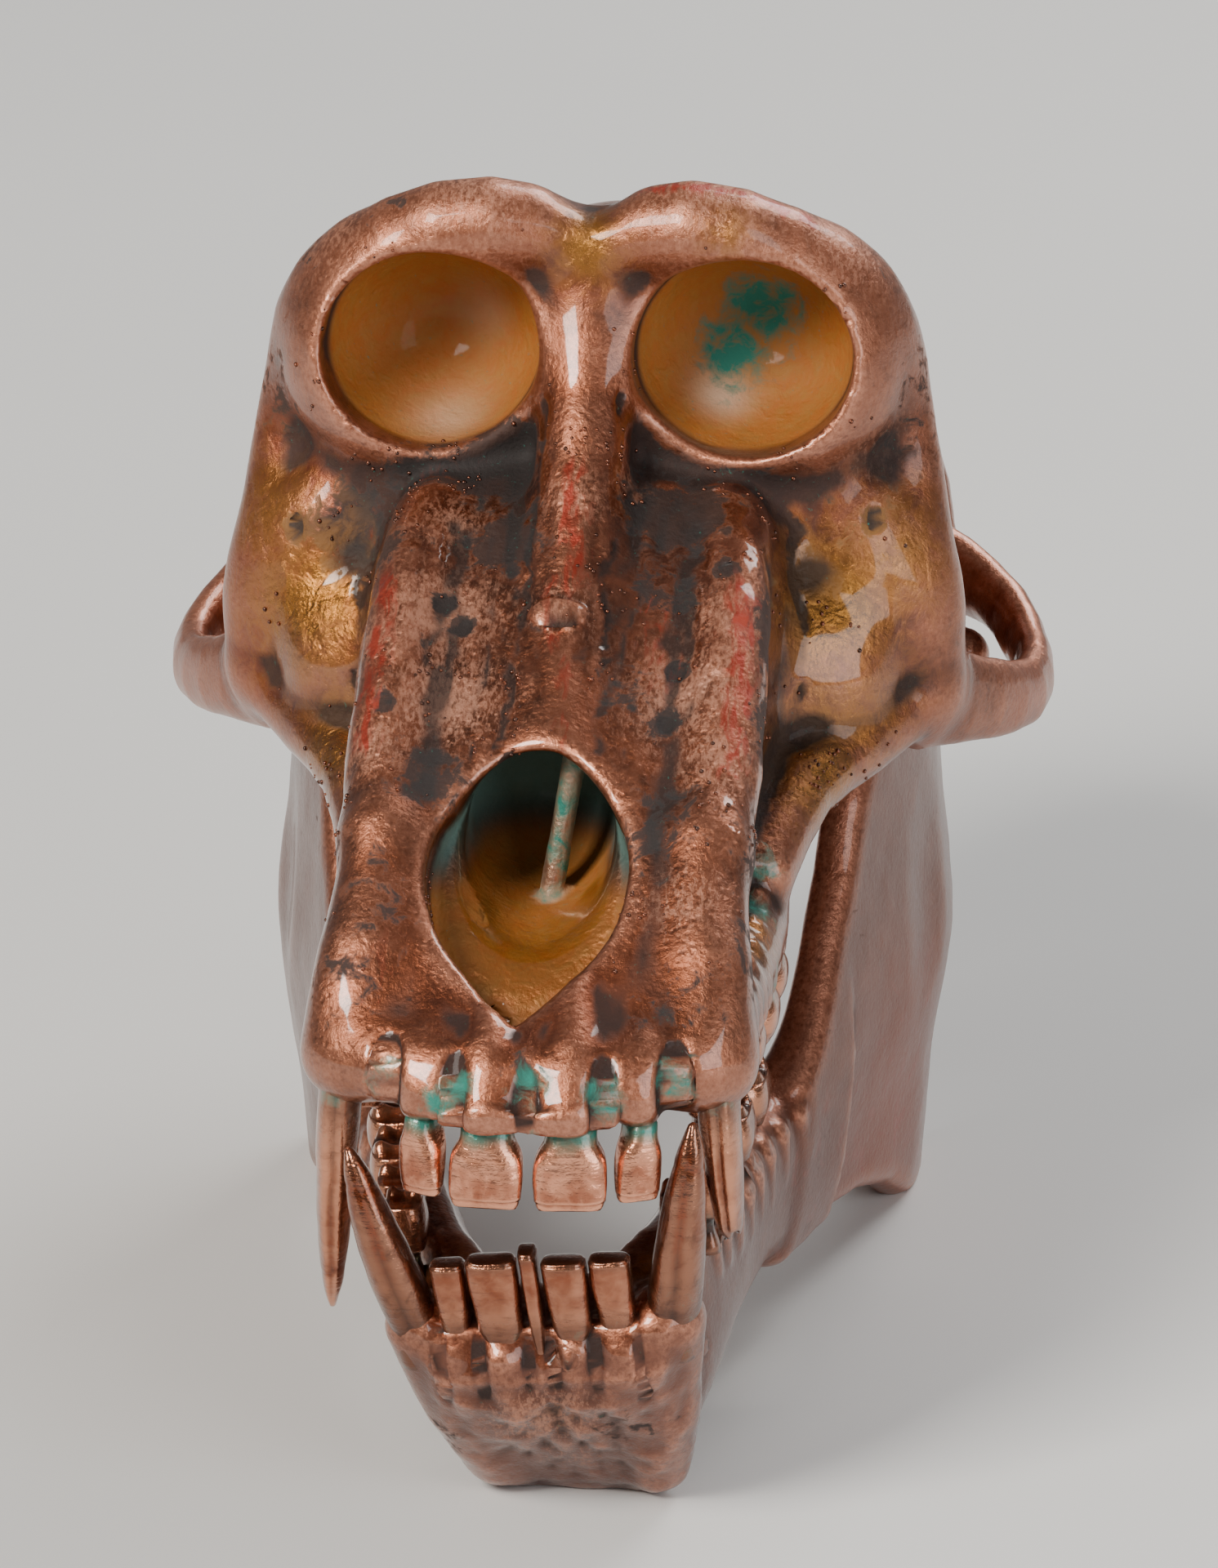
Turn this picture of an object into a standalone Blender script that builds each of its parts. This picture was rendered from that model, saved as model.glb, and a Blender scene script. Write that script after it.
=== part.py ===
"""A baboon's skull with its lower jaw set a little open, standing on the jaw.

The bones are smooth bodies described by distance fields: each bone is a few eggs, rods and plates that are
blended together, with its hollows carved out. The field is sampled on a grid and its surface is meshed.
The teeth are turned rings of points in sockets. The design is in millimetres, and the meshes are in metres.
The face looks along -Y, +Z is up, and the floor that the jaw stands on is z = 0.
"""

import bmesh
import bpy
import numpy as np
from mathutils import Matrix, Vector

MM = 0.001

# Driving dimensions, in millimetres
NOTCH_TO_MIDDLE = 4.8       # from below that notch, where the design has y = 0, to the length's middle
GRID = 1.6                  # spacing of the grid that the bones are sampled on
VOXEL = 1.3                 # spacing of the even mesh made from that
CRANIUM_TRIANGLES = 3060
JAW_TRIANGLES = 1040
SOCKET_GAP = 0.35           # all round a tooth in its socket


# Fields: a point is (x, y, z) arrays, and a field is negative inside
def join(a, b, soft):
    """Both bodies, with a fillet of about the given size between them."""
    mix = np.clip(0.5 + 0.5 * (b - a) / soft, 0, 1)
    return b + (a - b) * mix - soft * mix * (1 - mix)


def carve(a, b, soft):
    """The first body with the second cut out of it."""
    return -join(-a, b, soft)


def keep(a, b, soft):
    """What the two bodies share."""
    return -join(-a, -b, soft)


def turned(p, centre, pitch=0.0, yaw=0.0):
    """The point seen from a centre whose axes are pitched about X and then yawed about Z, in degrees."""
    x, y, z = (a - c for a, c in zip(p, centre))
    if yaw:
        c, s = np.cos(np.radians(yaw)), np.sin(np.radians(yaw))
        x, y = c * x + s * y, c * y - s * x
    if pitch:
        c, s = np.cos(np.radians(pitch)), np.sin(np.radians(pitch))
        y, z = c * y + s * z, c * z - s * y
    return x, y, z


def egg(p, centre, radii, pitch=0.0, yaw=0.0):
    q = turned(p, centre, pitch, yaw)
    near = np.sqrt(sum((a / r) ** 2 for a, r in zip(q, radii)))
    slope = np.sqrt(sum((a / r**2) ** 2 for a, r in zip(q, radii)))
    return near * (near - 1) / np.maximum(slope, 1e-6)


def rod(p, start, end, squash=(1, 1, 1)):
    """A round cone between two (x, y, z, radius) ends. Squash above 1 makes it thinner along that axis."""
    a, b, s = np.array(start[:3]), np.array(end[:3]), np.array(squash)
    q = [(c - c0) * k for c, c0, k in zip(p, a, s)]
    d = (b - a) * s
    t = np.clip(sum(c * k for c, k in zip(q, d)) / (d @ d), 0, 1)
    away = np.sqrt(sum((c - t * k) ** 2 for c, k in zip(q, d)))
    return away - (start[3] + t * (end[3] - start[3]))


def limb(p, points, squash=(1, 1, 1)):
    """Rods end to end along a smooth line through (x, y, z, radius) points."""
    steps = np.linspace(0, len(points) - 1, 2 * len(points) - 1)
    line = np.stack([curve(steps, list(enumerate(values))) for values in zip(*points)], 1)
    return np.minimum.reduce([rod(p, start, end, squash) for start, end in zip(line, line[1:])])


def curve(t, knots):
    """A smooth value along t through (t, value) knots, held flat past the ends."""
    ts, vs = (np.array(k, float) for k in zip(*knots))
    steps, rises = np.diff(ts), np.diff(vs)
    slopes = rises / steps
    inner = (slopes[:-1] * steps[1:] + slopes[1:] * steps[:-1]) / (steps[:-1] + steps[1:])
    tangents = np.concatenate([slopes[:1], inner, slopes[-1:]])
    t = np.clip(t, ts[0], ts[-1])
    i = np.clip(np.searchsorted(ts, t, side="right") - 1, 0, len(ts) - 2)
    w, u = steps[i], (t - ts[i]) / steps[i]
    return (
        vs[i] * (1 + 2 * u) * (1 - u) ** 2
        + vs[i + 1] * u**2 * (3 - 2 * u)
        + w * (tangents[i] * u * (1 - u) ** 2 - tangents[i + 1] * u**2 * (1 - u))
    )


def slab(x, z, wide, high, boxy):
    """A section that is an ellipse at boxy 2 and nears a rectangle above it."""
    shape = (np.abs(x / wide) ** boxy + np.abs(z / high) ** boxy) ** (1 / boxy)
    return (shape - 1) * np.minimum(wide, high)


def outline(u, v, corners):
    """Distance to a closed outline of corners in a plane, negative inside."""
    nearest = np.full(u.shape, 1e9, np.float32)
    inside = np.zeros(u.shape, bool)
    for (u0, v0), (u1, v1) in zip(corners, corners[1:] + corners[:1]):
        du, dv = u1 - u0, v1 - v0
        t = np.clip(((u - u0) * du + (v - v0) * dv) / (du * du + dv * dv), 0, 1)
        nearest = np.minimum(nearest, (u - u0 - t * du) ** 2 + (v - v0 - t * dv) ** 2)
        crosses = (v0 > v) != (v1 > v)
        if dv:
            inside ^= crosses & (u < u0 + (v - v0) * du / dv)
    return np.where(inside, -1, 1) * np.sqrt(nearest)


# The upper skull's forms, for the side with x above 0. The other side mirrors it.
BROW_AND_CHEEK_RIM = [
    (0, -1, 135.2, 5.5), (12.5, -4, 138, 6.0), (23, -3, 135.4, 5.8), (31.8, 1.5, 127.3, 5.4),
    (35.8, 4, 118, 5.2), (37.6, 4, 108, 5.4), (38.5, 1, 98, 6.2), (39.3, -1, 88, 6.5), (40, -1, 80.5, 6.0),
]
CHEEK_ARCH = [
    (41, 0, 77.5, 4.4), (48.5, 9, 73.8, 3.1), (53.6, 20, 71.2, 2.7), (54, 30, 71.6, 2.7),
    (50.5, 40, 74.2, 2.9), (43.5, 47, 77.5, 3.2), (36, 50, 79, 4.2),
]
CHEEK_CREST = [(41, -2, 78.5, 4.5), (34, -11, 74.5, 4.5), (27.5, -21, 72, 4.6), (23.5, -34, 66, 4.5)]
GUM_RIDGE = [
    (0, -88.9, 60.0, 3.3), (9, -87.4, 60.0, 3.4), (16, -84.5, 59.5, 3.8), (20.8, -79, 58.8, 4.5),
    (21, -70, 58.8, 4.4), (21.4, -56, 58.8, 4.6), (22, -44, 59, 4.9), (22, -30, 60, 4.9), (20, -21, 62.5, 4.2),
]
CANINE_ROOT = [(21, -80, 59, 4.8), (20.2, -74, 68.5, 5.0), (19, -62, 77.5, 4.6)]
SNOUT_RIDGE = [
    (18, -16, 103.5, 4.5), (19.5, -27, 99.8, 4.6), (19.8, -40, 92.2, 4.8), (20, -52, 84.6, 4.8),
    (19.5, -61, 78.8, 4.6),
]
SNOUT_TOP = [
    (-94, 58), (-90, 62), (-82, 67.5), (-70, 77), (-56, 87), (-40, 96.5), (-22, 106), (-12, 109), (4, 108),
]
SNOUT_BASE = [(-94, 55), (-60, 55), (-30, 56), (-20, 61), (-8, 68), (4, 72)]
SNOUT_HALF_WIDTH = [
    (-95, 5), (-93, 10), (-89, 15.5), (-83, 20), (-70, 21), (-50, 21.3), (-30, 22.5), (-15, 26), (4, 27),
]
NOSE_BRIDGE = [
    (0, -1, 133, 6.6), (0, -6.5, 124, 5.4), (0, -17, 110, 5.6), (0, -38, 94, 4.8), (0, -54, 84.4, 4.2),
]
SKULL_CREST = [
    (39, 58, 80, 3.4), (36, 74, 86, 3.2), (25, 91, 90, 3.2), (12, 99, 91, 3.4), (0, 101, 91.5, 3.8),
]
BONY_EAR = [(20, 50, 71, 4.6), (40, 56, 74.5, 4.4)]
PALATE_WING = [(-21, 60), (-20, 74), (-4, 74), (-3, 66), (-10, 54), (-17, 53)]
SOCKET_MOUTH = [(19.7, -22, 124.0, 13.2), (19.2, -7, 123.4, 13.0)]
SOCKET_SQUASH = (0.97, 1, 1.06)
SOCKET_BOWL = {"centre": (19.2, -7, 123.4), "radii": (13.4, 15, 12.3)}
NOSE_OPENING_X = -1.5       # the opening of this nose stands a little to one side
NOSE_STRUT = [(2.4, -48, 86, 1.6), (-1.4, -52, 61.5, 1.6)]
NOSE_MOUTH = {"centre": (0, -69.5, 75.5), "pitch": 42, "half_height": 18.6, "ahead": 15, "behind": 7}
NOSE_MOUTH_HALF_WIDTH = [(-20, 1.5), (-14, 5.6), (-8, 9.4), (0, 11.6), (8, 11.4), (14, 9.4), (19, 7.0)]
NOSE_PASSAGE = [(0, -70, 75.5, 9.4), (0, -47, 77.5, 8.8)]
FRONT_TEETH_X = 1           # the middle of the upper front teeth
INCISOR_ROOTS = [
    [(4.9, -90.9, 57, 3.6), (4.7, -87.6, 62, 3.0), (4.4, -79.8, 67.5, 1.6)],
    [(12.6, -88.0, 57, 3.0), (12.2, -84.2, 62, 2.5), (11.6, -76.5, 67.0, 1.6)],
]
SKULL_SWELLS = [
    # centre, radii, pitch, yaw, fillet: the braincase, its base, its front, then its floor
    ((0, 55, 93), (34.5, 47, 30.5), -14, 0, 6),
    ((22, 54, 78), (17, 24, 13), 0, 0, 6),
    ((0, 12, 117), (27, 22, 18), -10, 0, 8),
    ((0, 28, 78), (17, 36, 13), 0, 0, 8),
    # the cheeks, then the mastoid and the joint heads for the neck
    ((27, -2, 93), (15, 9, 17), 0, -14, 5),
    ((36, -1, 88), (9.5, 6, 14), 0, 0, 4),
    ((28, -9, 82), (10, 9, 11), 0, 0, 6),
    ((33, 64, 71), (7, 9, 7), 0, 0, 3),
    ((9.5, 58, 62), (4.2, 7.5, 4.6), 0, 0, 2),
]
SOCKET_WALL = [(22, 2, 121, 17.5), (13, 24, 114, 11)]
MUZZLE_HOLLOW = ((31, -46, 79.5), (9, 22, 12), 24, 0, 4)
SKULL_HOLLOWS = [
    # centre, radii, pitch, yaw, fillet: the notch between the brows, the temple, the palate and the throat
    ((0, 0, 147), (4.5, 12, 7), 0, 0, 4),
    ((41, 24, 108), (15, 17, 24), 0, 10, 5),
    ((0, -50, 54), (15.5, 38, 6.5), 0, 0, 3),
    ((0, -9, 68), (8.5, 9, 8), 0, 0, 2),
    # the jaw's socket and the hole for the spine
    ((37.6, 40, 67), (12, 8.2, 8.8), 0, 0, 2),
    ((0, 68, 58), (8.0, 9.0, 13), -25, 0, 2),
]


def snout(x, y, z):
    low, high = curve(y, SNOUT_BASE), curve(y, SNOUT_TOP)
    section = slab(x, z - (low + high) / 2, curve(y, SNOUT_HALF_WIDTH), (high - low) / 2, 3.6)
    return np.maximum(section, np.maximum(-95 - y, y - 6))


def nose_opening(p):
    """The pear-shaped opening, which leans forward, and the passage behind it."""
    x, along, deep = turned(p, NOSE_MOUTH["centre"], pitch=NOSE_MOUTH["pitch"])
    mouth = slab(x, along, curve(along, NOSE_MOUTH_HALF_WIDTH), NOSE_MOUTH["half_height"], 3)
    mouth = np.maximum(mouth, np.maximum(deep - NOSE_MOUTH["ahead"], -deep - NOSE_MOUTH["behind"]))
    return join(mouth, rod(p, *NOSE_PASSAGE), 3)


def eye_socket(p):
    """The round way in between the rims, and the shallow bowl at its end."""
    return np.minimum(rod(p, *SOCKET_MOUTH, SOCKET_SQUASH), egg(p, **SOCKET_BOWL))


def palate_wing(s, y, z):
    middle = 11.5 - 0.12 * (z - 60)
    return np.maximum(outline(y, z, PALATE_WING), np.abs(s - middle) - 1.9)


def cranium(x, y, z):
    s = np.abs(x)
    p = (s, y, z)
    f = join(snout(x, y, z), rod(p, *SOCKET_WALL), 5)
    for centre, radii, pitch, yaw, soft in SKULL_SWELLS:
        f = join(f, egg(p, centre, radii, pitch, yaw), soft)
    for points, soft in (
        (BROW_AND_CHEEK_RIM, 3.5), (CHEEK_CREST, 3), (NOSE_BRIDGE, 4), (GUM_RIDGE, 3), (SKULL_CREST, 3),
        (BONY_EAR, 3),
    ):
        f = join(f, limb(p, points), soft)
    f = join(f, limb(p, CHEEK_ARCH, squash=(1, 1, 0.6)), 3)
    f = join(f, palate_wing(s, y, z), 2)
    centre, radii, pitch, yaw, soft = MUZZLE_HOLLOW
    f = carve(f, egg(p, centre, radii, pitch, yaw), soft)
    f = join(f, limb(p, SNOUT_RIDGE), 3.5)
    f = join(f, limb(p, CANINE_ROOT), 4.5)
    for centre, radii, pitch, yaw, soft in SKULL_HOLLOWS:
        f = carve(f, egg(p, centre, radii, pitch, yaw), soft)
    for root in INCISOR_ROOTS:
        f = join(f, limb((np.abs(x - FRONT_TEETH_X), y, z), root), 1.8)
    f = carve(f, eye_socket(p), 1.2)
    f = carve(f, nose_opening((x - NOSE_OPENING_X, y, z)), 1.5)
    return join(f, rod((x, y, z), *NOSE_STRUT), 1)


# The lower jaw's forms
RAMUS = [
    (-26, 34), (-27, 13), (-12, 12), (2, 10.5), (14, 6.5), (23, 1), (30, -2.5), (37, 1), (39.5, 18), (39, 40),
    (41, 58), (45, 66), (44, 72), (37, 72), (31.5, 63.5), (26, 63), (21, 71), (18.5, 80), (14.5, 80.5), (10, 78),
    (6, 71), (-1, 63), (-6, 55), (-15, 45),
]
RAMUS_MIDDLE_X = [(-34, 22.5), (-22, 25.5), (-2, 31.5), (12, 36), (22, 38.4), (32, 38.9), (46, 37.8)]
RAMUS_FLARE = [(0, -1.6), (16, -0.3), (36, 2.2), (54, 0.6), (72, -0.6)]
BODY_MIDDLE_X = [
    (-90, 5), (-82, 7.5), (-76, 9.8), (-66, 13.6), (-55, 16.8), (-42, 19.2), (-28, 23), (-12, 28.5),
]
BODY_HALF_WIDTH = [(-90, 6), (-76, 5.4), (-60, 5), (-45, 5.2), (-30, 5.6), (-12, 5)]
BODY_TOP = [(-90, 26), (-82, 28), (-74, 32), (-60, 33.5), (-30, 34.5), (-12, 37)]
BODY_BASE = [(-90, 20), (-82, 13), (-72, 7), (-62, 9), (-52, 12.5), (-40, 13.5), (-26, 12.5), (-12, 12)]
CHIN = [(-89, 22), (-87.5, 27), (-76, 28.5), (-64, 22), (-57, 8), (-57, -3), (-67, -3), (-74, 3), (-82, 12)]
CHIN_HALF_WIDTH = [(-3, 9.5), (8, 10.8), (20, 13), (30, 14.5)]
LOWER_CANINE_ROOT = [(14.8, -84.2, 27, 4.4), (12.5, -79, 14, 4.0), (10, -73, 5, 3.6)]
LOWER_INCISOR_ROOTS = [
    [(9.1, -87.2, 24.5, 2.5), (7.8, -85.2, 17, 1.6)], [(3.4, -88.0, 24.5, 2.6), (2.9, -86.2, 18, 1.6)],
    [(-5.0, -87.7, 24, 3.0), (-4.3, -86, 17, 2.0)], [(-10.6, -86.8, 24.5, 2.4), (-9.1, -84.8, 18, 1.5)],
]
JAW_HOLLOWS = [
    # centre, radii, pitch, fillet: the hollow outside the ramus, then the one behind the chin
    ((47, 14, 46), (6, 10, 18), -12, 3), ((0, -60, 26), (7, 18, 10), -28, 3),
]
CONDYLE = [(31.5, 40, 69.0, 3.4), (38, 41, 69.8, 3.8), (44.5, 41, 68.6, 3.4)]


def shift(y, z):
    """How far the jaw's askew front stands to +X, and how much it tips up on that side."""
    front = np.clip((-30 - y) / 40, 0, 1)
    return 0.11 * (47 - z) * front, 0.07 * front * np.clip(z / 20, 0, 1)


def straightened(x, y, z):
    """The point of the straight jaw that comes to (x, y, z) in the askew one."""
    aside, tip = shift(y, z)
    return x - aside, y, z - tip * x


def askew(x, y, z):
    aside, tip = shift(y, z)
    return x + aside, y, z + tip * x


def jaw(x, y, z):
    x, y, z = straightened(x, y, z)
    p = (np.abs(x), y, z)
    s = p[0]
    low, high = curve(y, BODY_BASE), curve(y, BODY_TOP)
    middle = curve(y, BODY_MIDDLE_X) + 0.08 * (z - 22)
    body = slab(s - middle, z - (low + high) / 2, curve(y, BODY_HALF_WIDTH), (high - low) / 2, 3)
    f = np.maximum(body, np.maximum(-87 - y, y + 14))
    plate = np.abs(s - curve(y, RAMUS_MIDDLE_X) - curve(z, RAMUS_FLARE)) - 2.9
    f = join(f, keep(outline(y, z, RAMUS) - 1.5, plate, 3), 4)
    f = join(f, keep(outline(y, z, CHIN) - 1, s - curve(z, CHIN_HALF_WIDTH), 4), 3)
    f = join(f, limb(p, LOWER_CANINE_ROOT), 3)
    f = join(f, limb(p, CONDYLE), 2.5)
    for root in LOWER_INCISOR_ROOTS:
        f = join(f, limb((x, y, z), root), 1.2)
    for centre, radii, pitch, soft in JAW_HOLLOWS:
        f = carve(f, egg(p, centre, radii, pitch), soft)
    return f


# Meshing
def surface(field, low, high, step):
    """Points and four-sided faces of the field's zero surface, one point in each grid cell that it crosses."""
    axes = [np.arange(a, b + step, step, dtype=np.float32) for a, b in zip(low, high)]
    x, y, z = np.meshgrid(*axes, indexing="ij")
    f = field(x, y, z)
    inside = f < 0
    size = np.array(f.shape)
    total, count = np.zeros((*(size - 1), 3), np.float32), np.zeros(size - 1, np.int32)
    cell = tuple(slice(0, n - 1) for n in size)
    for axis in range(3):
        near = [slice(None)] * 3
        far = [slice(None)] * 3
        near[axis], far[axis] = slice(0, -1), slice(1, None)
        a, b = f[tuple(near)], f[tuple(far)]
        crossed = (a < 0) != (b < 0)
        t = np.where(crossed, a / np.where(crossed, a - b, 1), 0)
        others = [k for k in range(3) if k != axis]
        for i in (0, 1):
            for j in (0, 1):
                part = [slice(0, n - 1) for n in size]
                part[others[0]] = slice(i, size[others[0]] - 1 + i)
                part[others[1]] = slice(j, size[others[1]] - 1 + j)
                hit = crossed[tuple(part)]
                spot = np.zeros((*hit.shape, 3), np.float32)
                spot[..., axis] = t[tuple(part)]
                spot[..., others[0]] = i
                spot[..., others[1]] = j
                total += spot * hit[..., None]
                count += hit
    used = count > 0
    number = np.full(used.shape, -1, np.int64)
    number[used] = np.arange(used.sum())
    corner = np.argwhere(used)
    points = np.array(low) + step * (corner + total[used] / count[used][:, None])
    faces = []
    for axis in range(3):
        u, v = [k for k in range(3) if k != axis]
        part = [slice(1, n - 1) for n in size]
        part[axis] = slice(0, size[axis] - 1)
        far = list(part)
        far[axis] = slice(1, size[axis])
        starts, ends = inside[tuple(part)], inside[tuple(far)]
        at = np.argwhere(starts != ends)
        first = starts[tuple(at.T)]
        for k in range(3):
            at[:, k] += 1 if k != axis else 0
        ring = []
        for du, dv in ((0, 0), (-1, 0), (-1, -1), (0, -1)):
            c = at.copy()
            c[:, u] += du
            c[:, v] += dv
            ring.append(number[tuple(c.T)])
        quads = np.stack(ring, 1)
        outward = first if axis != 1 else ~first
        quads[~outward] = quads[~outward][:, ::-1]
        faces.append(quads)
    return points, np.concatenate(faces)


def settled(field, points, rounds=3, most=0.8):
    """Moves points onto the field's zero surface."""
    for _ in range(rounds):
        x, y, z = points.T
        f = field(x, y, z)
        e = 0.05
        slope = np.stack(
            [field(x + e, y, z) - f, field(x, y + e, z) - f, field(x, y, z + e) - f], 1
        ) / e
        move = f[:, None] * slope / np.maximum((slope**2).sum(1), 0.15)[:, None]
        points = points - np.clip(move, -most, most)
    return points


# Teeth. Each is a stack of rings round an axis, from its root's end, through the gum, to its crown.
# A ring's height is in millimetres below the gum, or a share of the crown above it, and its two other values
# are shares of the tooth's half sizes along the row and across it.
GUM_Z = 54.6
JAW_GUM_Z = 33.6
JAW_FRONT_GUM_Z = 27.8
INCISOR = {
    "grid": (3, 3), "boxy": 2.6, "rings": [(-4, 0.55, 0.7), (0, 0.72, 0.9), (0.3, 0.9, 1), (0.75, 1, 0.75)],
}
CHEEK = {"boxy": 3, "rings": [(-4, 0.66, 0.66), (0, 0.84, 0.84), (0.4, 1, 1), (0.72, 0.97, 0.9)]}
CANINE = {"sides": 8, "rings": [(-4.5, 0.8), (0, 1.0), (0.25, 1.0), (0.5, 0.88), (0.75, 0.64), (0.93, 0.34)]}
LOWER_INCISOR_HALF_DEPTH = 2.3
INCISOR_LEAN = 2.6          # how far forward an incisor's edge stands of its gum

UPPER_INCISORS = [
    # name, x, y, degrees that the row turns there, half sizes, height
    ("central", 4.9, -90.4, 5, (4.2, 2.6), 9.6),
    ("lateral", 12.6, -88.0, 24, (2.6, 2.5), 9.0),
]
LOWER_INCISORS = [
    # name, x, half width, height
    ("lower_left_lateral_incisor", 8.95, 2.35, 9.6),
    ("lower_left_central_incisor", 3.65, 2.5, 9.8),
    ("lower_middle_peg_tooth", -0.35, 1.0, 11.4),
    ("lower_right_central_incisor", -4.75, 2.9, 10.2),
    ("lower_right_lateral_incisor", -10.1, 1.95, 9.4),
]
CHEEK_TEETH = [
    # name, ridges across the crown, then for the upper and the lower tooth its (x, y), half sizes and height
    ("first_premolar", 1, ((20.9, -71.0), (3.1, 3.3), 6.6), ((16.4, -75.2), (3.7, 2.5), 7.4)),
    ("second_premolar", 1, ((21.2, -63.8), (3.2, 3.8), 6.6), ((17.9, -67.3), (3.4, 2.9), 7.0)),
    ("first_molar", 2, ((21.6, -55.0), (4.7, 4.3), 6.4), ((18.9, -58.4), (4.7, 3.4), 7.0)),
    ("second_molar", 2, ((22.0, -44.0), (5.6, 4.8), 6.6), ((19.8, -47.4), (5.6, 3.9), 7.2)),
    ("third_molar", 2, ((22.0, -32.0), (5.6, 4.9), 6.6), ((21.0, -34.6), (6.4, 4.0), 7.2)),
]
UPPER_CANINE = {
    "gum": (22.2, -80.4, 56), "half": (2.5, 4.5), "left": (23.6, -77.6, 36), "right": (24.2, -75.5, 24),
}
LOWER_CANINE = {
    "gum": (15.2, -84.6, 27.5), "half": (3.2, 3.8), "left": (20.6, -88, 53.4), "right": (20, -88, 51.6),
}
BROKEN_SHARE = 0.6          # what a ring at the broken canine's end keeps of its size


def cusps(u, v, ridges):
    """A crown's height at (u, v), from 0 to 1: an edge along the row, or ridges across it with a groove."""
    if not ridges:
        return 1 - 0.45 * abs(v)
    crests = (0,) if ridges == 1 else (-0.5, 0.5)
    nearest = min(abs(u - crest) for crest in crests)
    return max(0.0, 1 - 1.5 * nearest) - 0.3 * (1 - abs(v))


def grid_tooth(centre, gum_z, up, half, turn, lean, height, form, ridges, grow=0.0):
    """A tooth whose rings are the rim of a grid of columns and rows, and whose top is the grid itself."""
    columns, rows = form.get("grid", (2 * ridges + 1, 3))
    us, vs = np.linspace(-1, 1, columns), np.linspace(-1, 1, rows)
    rim = [(u, -1) for u in us[:-1]] + [(1, v) for v in vs[:-1]]
    rim += [(u, 1) for u in us[:0:-1]] + [(-1, v) for v in vs[:0:-1]]
    c, s = np.cos(np.radians(turn)), np.sin(np.radians(turn))

    def point(u, v, share, wide, deep):
        reach = max(abs(u), abs(v))
        boxy = form["boxy"]
        rounding = reach / (abs(u) ** boxy + abs(v) ** boxy) ** (1 / boxy) if reach else 1
        a, b = u * rounding * (half[0] * wide + grow), v * rounding * (half[1] * deep + grow)
        rise = share * height if share > 0 else share - grow * (share < 0)
        out = max(share, 0) * lean
        return centre[0] + c * a - s * b, centre[1] + s * a + c * b - out, gum_z + up * rise

    mesh = bmesh.new()
    layers = [[mesh.verts.new(point(u, v, *ring)) for u, v in rim] for ring in form["rings"]]
    wide, deep = form["rings"][-1][1] * 0.9, form["rings"][-1][2] * 0.8
    top = {}
    for v in vs:
        for u in us:
            share = 1 if grow else 0.78 + 0.22 * cusps(u, v, ridges)
            top[u, v] = mesh.verts.new(point(u, v, share, wide, deep))
    layers.append([top[corner] for corner in rim])
    for low, high in zip(layers, layers[1:]):
        for i, j in zip(range(-1, len(rim) - 1), range(len(rim))):
            mesh.faces.new((low[i], low[j], high[j], high[i]))
    mesh.faces.new(layers[0])
    for u0, u1 in zip(us, us[1:]):
        for v0, v1 in zip(vs, vs[1:]):
            mesh.faces.new((top[u0, v0], top[u1, v0], top[u1, v1], top[u0, v1]))
    return mesh


def canine_tooth(gum, tip, half, broken, grow=0.0):
    """A tapered, slightly bowed tooth of oval rings from its root to its point, or to a broken end."""
    gum, tip = Vector(gum), Vector(tip)
    up = 1 if tip.z > gum.z else -1
    mesh = bmesh.new()
    layers = []
    for share, size in CANINE["rings"]:
        if broken:
            size = 1 + (size - 1) * BROKEN_SHARE
        bow = 4 * share * (1 - share) * 1.6 if share > 0 else 0
        middle = gum + (tip - gum) * max(share, 0) - Vector((0, bow, 0))
        if share < 0:
            middle.z += up * (share - grow)
        ring = []
        for i in range(CANINE["sides"]):
            angle = 2 * np.pi * i / CANINE["sides"]
            x, y = (half[0] * size + grow) * np.cos(angle), (half[1] * size + grow) * np.sin(angle)
            ring.append(mesh.verts.new(middle + Vector((x, y, 0))))
        layers.append(ring)
    for low, high in zip(layers, layers[1:]):
        for i, j in zip(range(-1, CANINE["sides"] - 1), range(CANINE["sides"])):
            mesh.faces.new((low[i], low[j], high[j], high[i]))
    mesh.faces.new(layers[0])
    point = mesh.verts.new(tip)
    for a, b in zip(layers[-1], layers[-1][1:] + layers[-1][:1]):
        mesh.faces.new((a, b, point))
    return mesh


def tooth_object(name, mesh, place, material):
    bmesh.ops.recalc_face_normals(mesh, faces=mesh.faces)
    for vertex in mesh.verts:
        vertex.co = in_part(place(*vertex.co))
    bmesh.ops.triangulate(mesh, faces=mesh.faces)
    data = bpy.data.meshes.new(name)
    mesh.to_mesh(data)
    mesh.free()
    data.materials.append(material)
    obj = bpy.data.objects.new(name, data)
    bpy.context.scene.collection.objects.link(obj)
    return obj


def tooth_in(bone_object, name, place, material, make, *values):
    """Sets a tooth in a socket that follows it at the gap."""
    tooth_object(name, make(*values), place, material)
    cutter = tooth_object("socket_of_" + name, make(*values, SOCKET_GAP), place, material)
    cut(bone_object, cutter)


def cut(obj, cutter):
    cutter.hide_render = True
    cutter.display_type = "WIRE"
    boolean = obj.modifiers.new(cutter.name, "BOOLEAN")
    boolean.operation = "DIFFERENCE"
    boolean.solver = "EXACT"
    boolean.object = cutter


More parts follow.
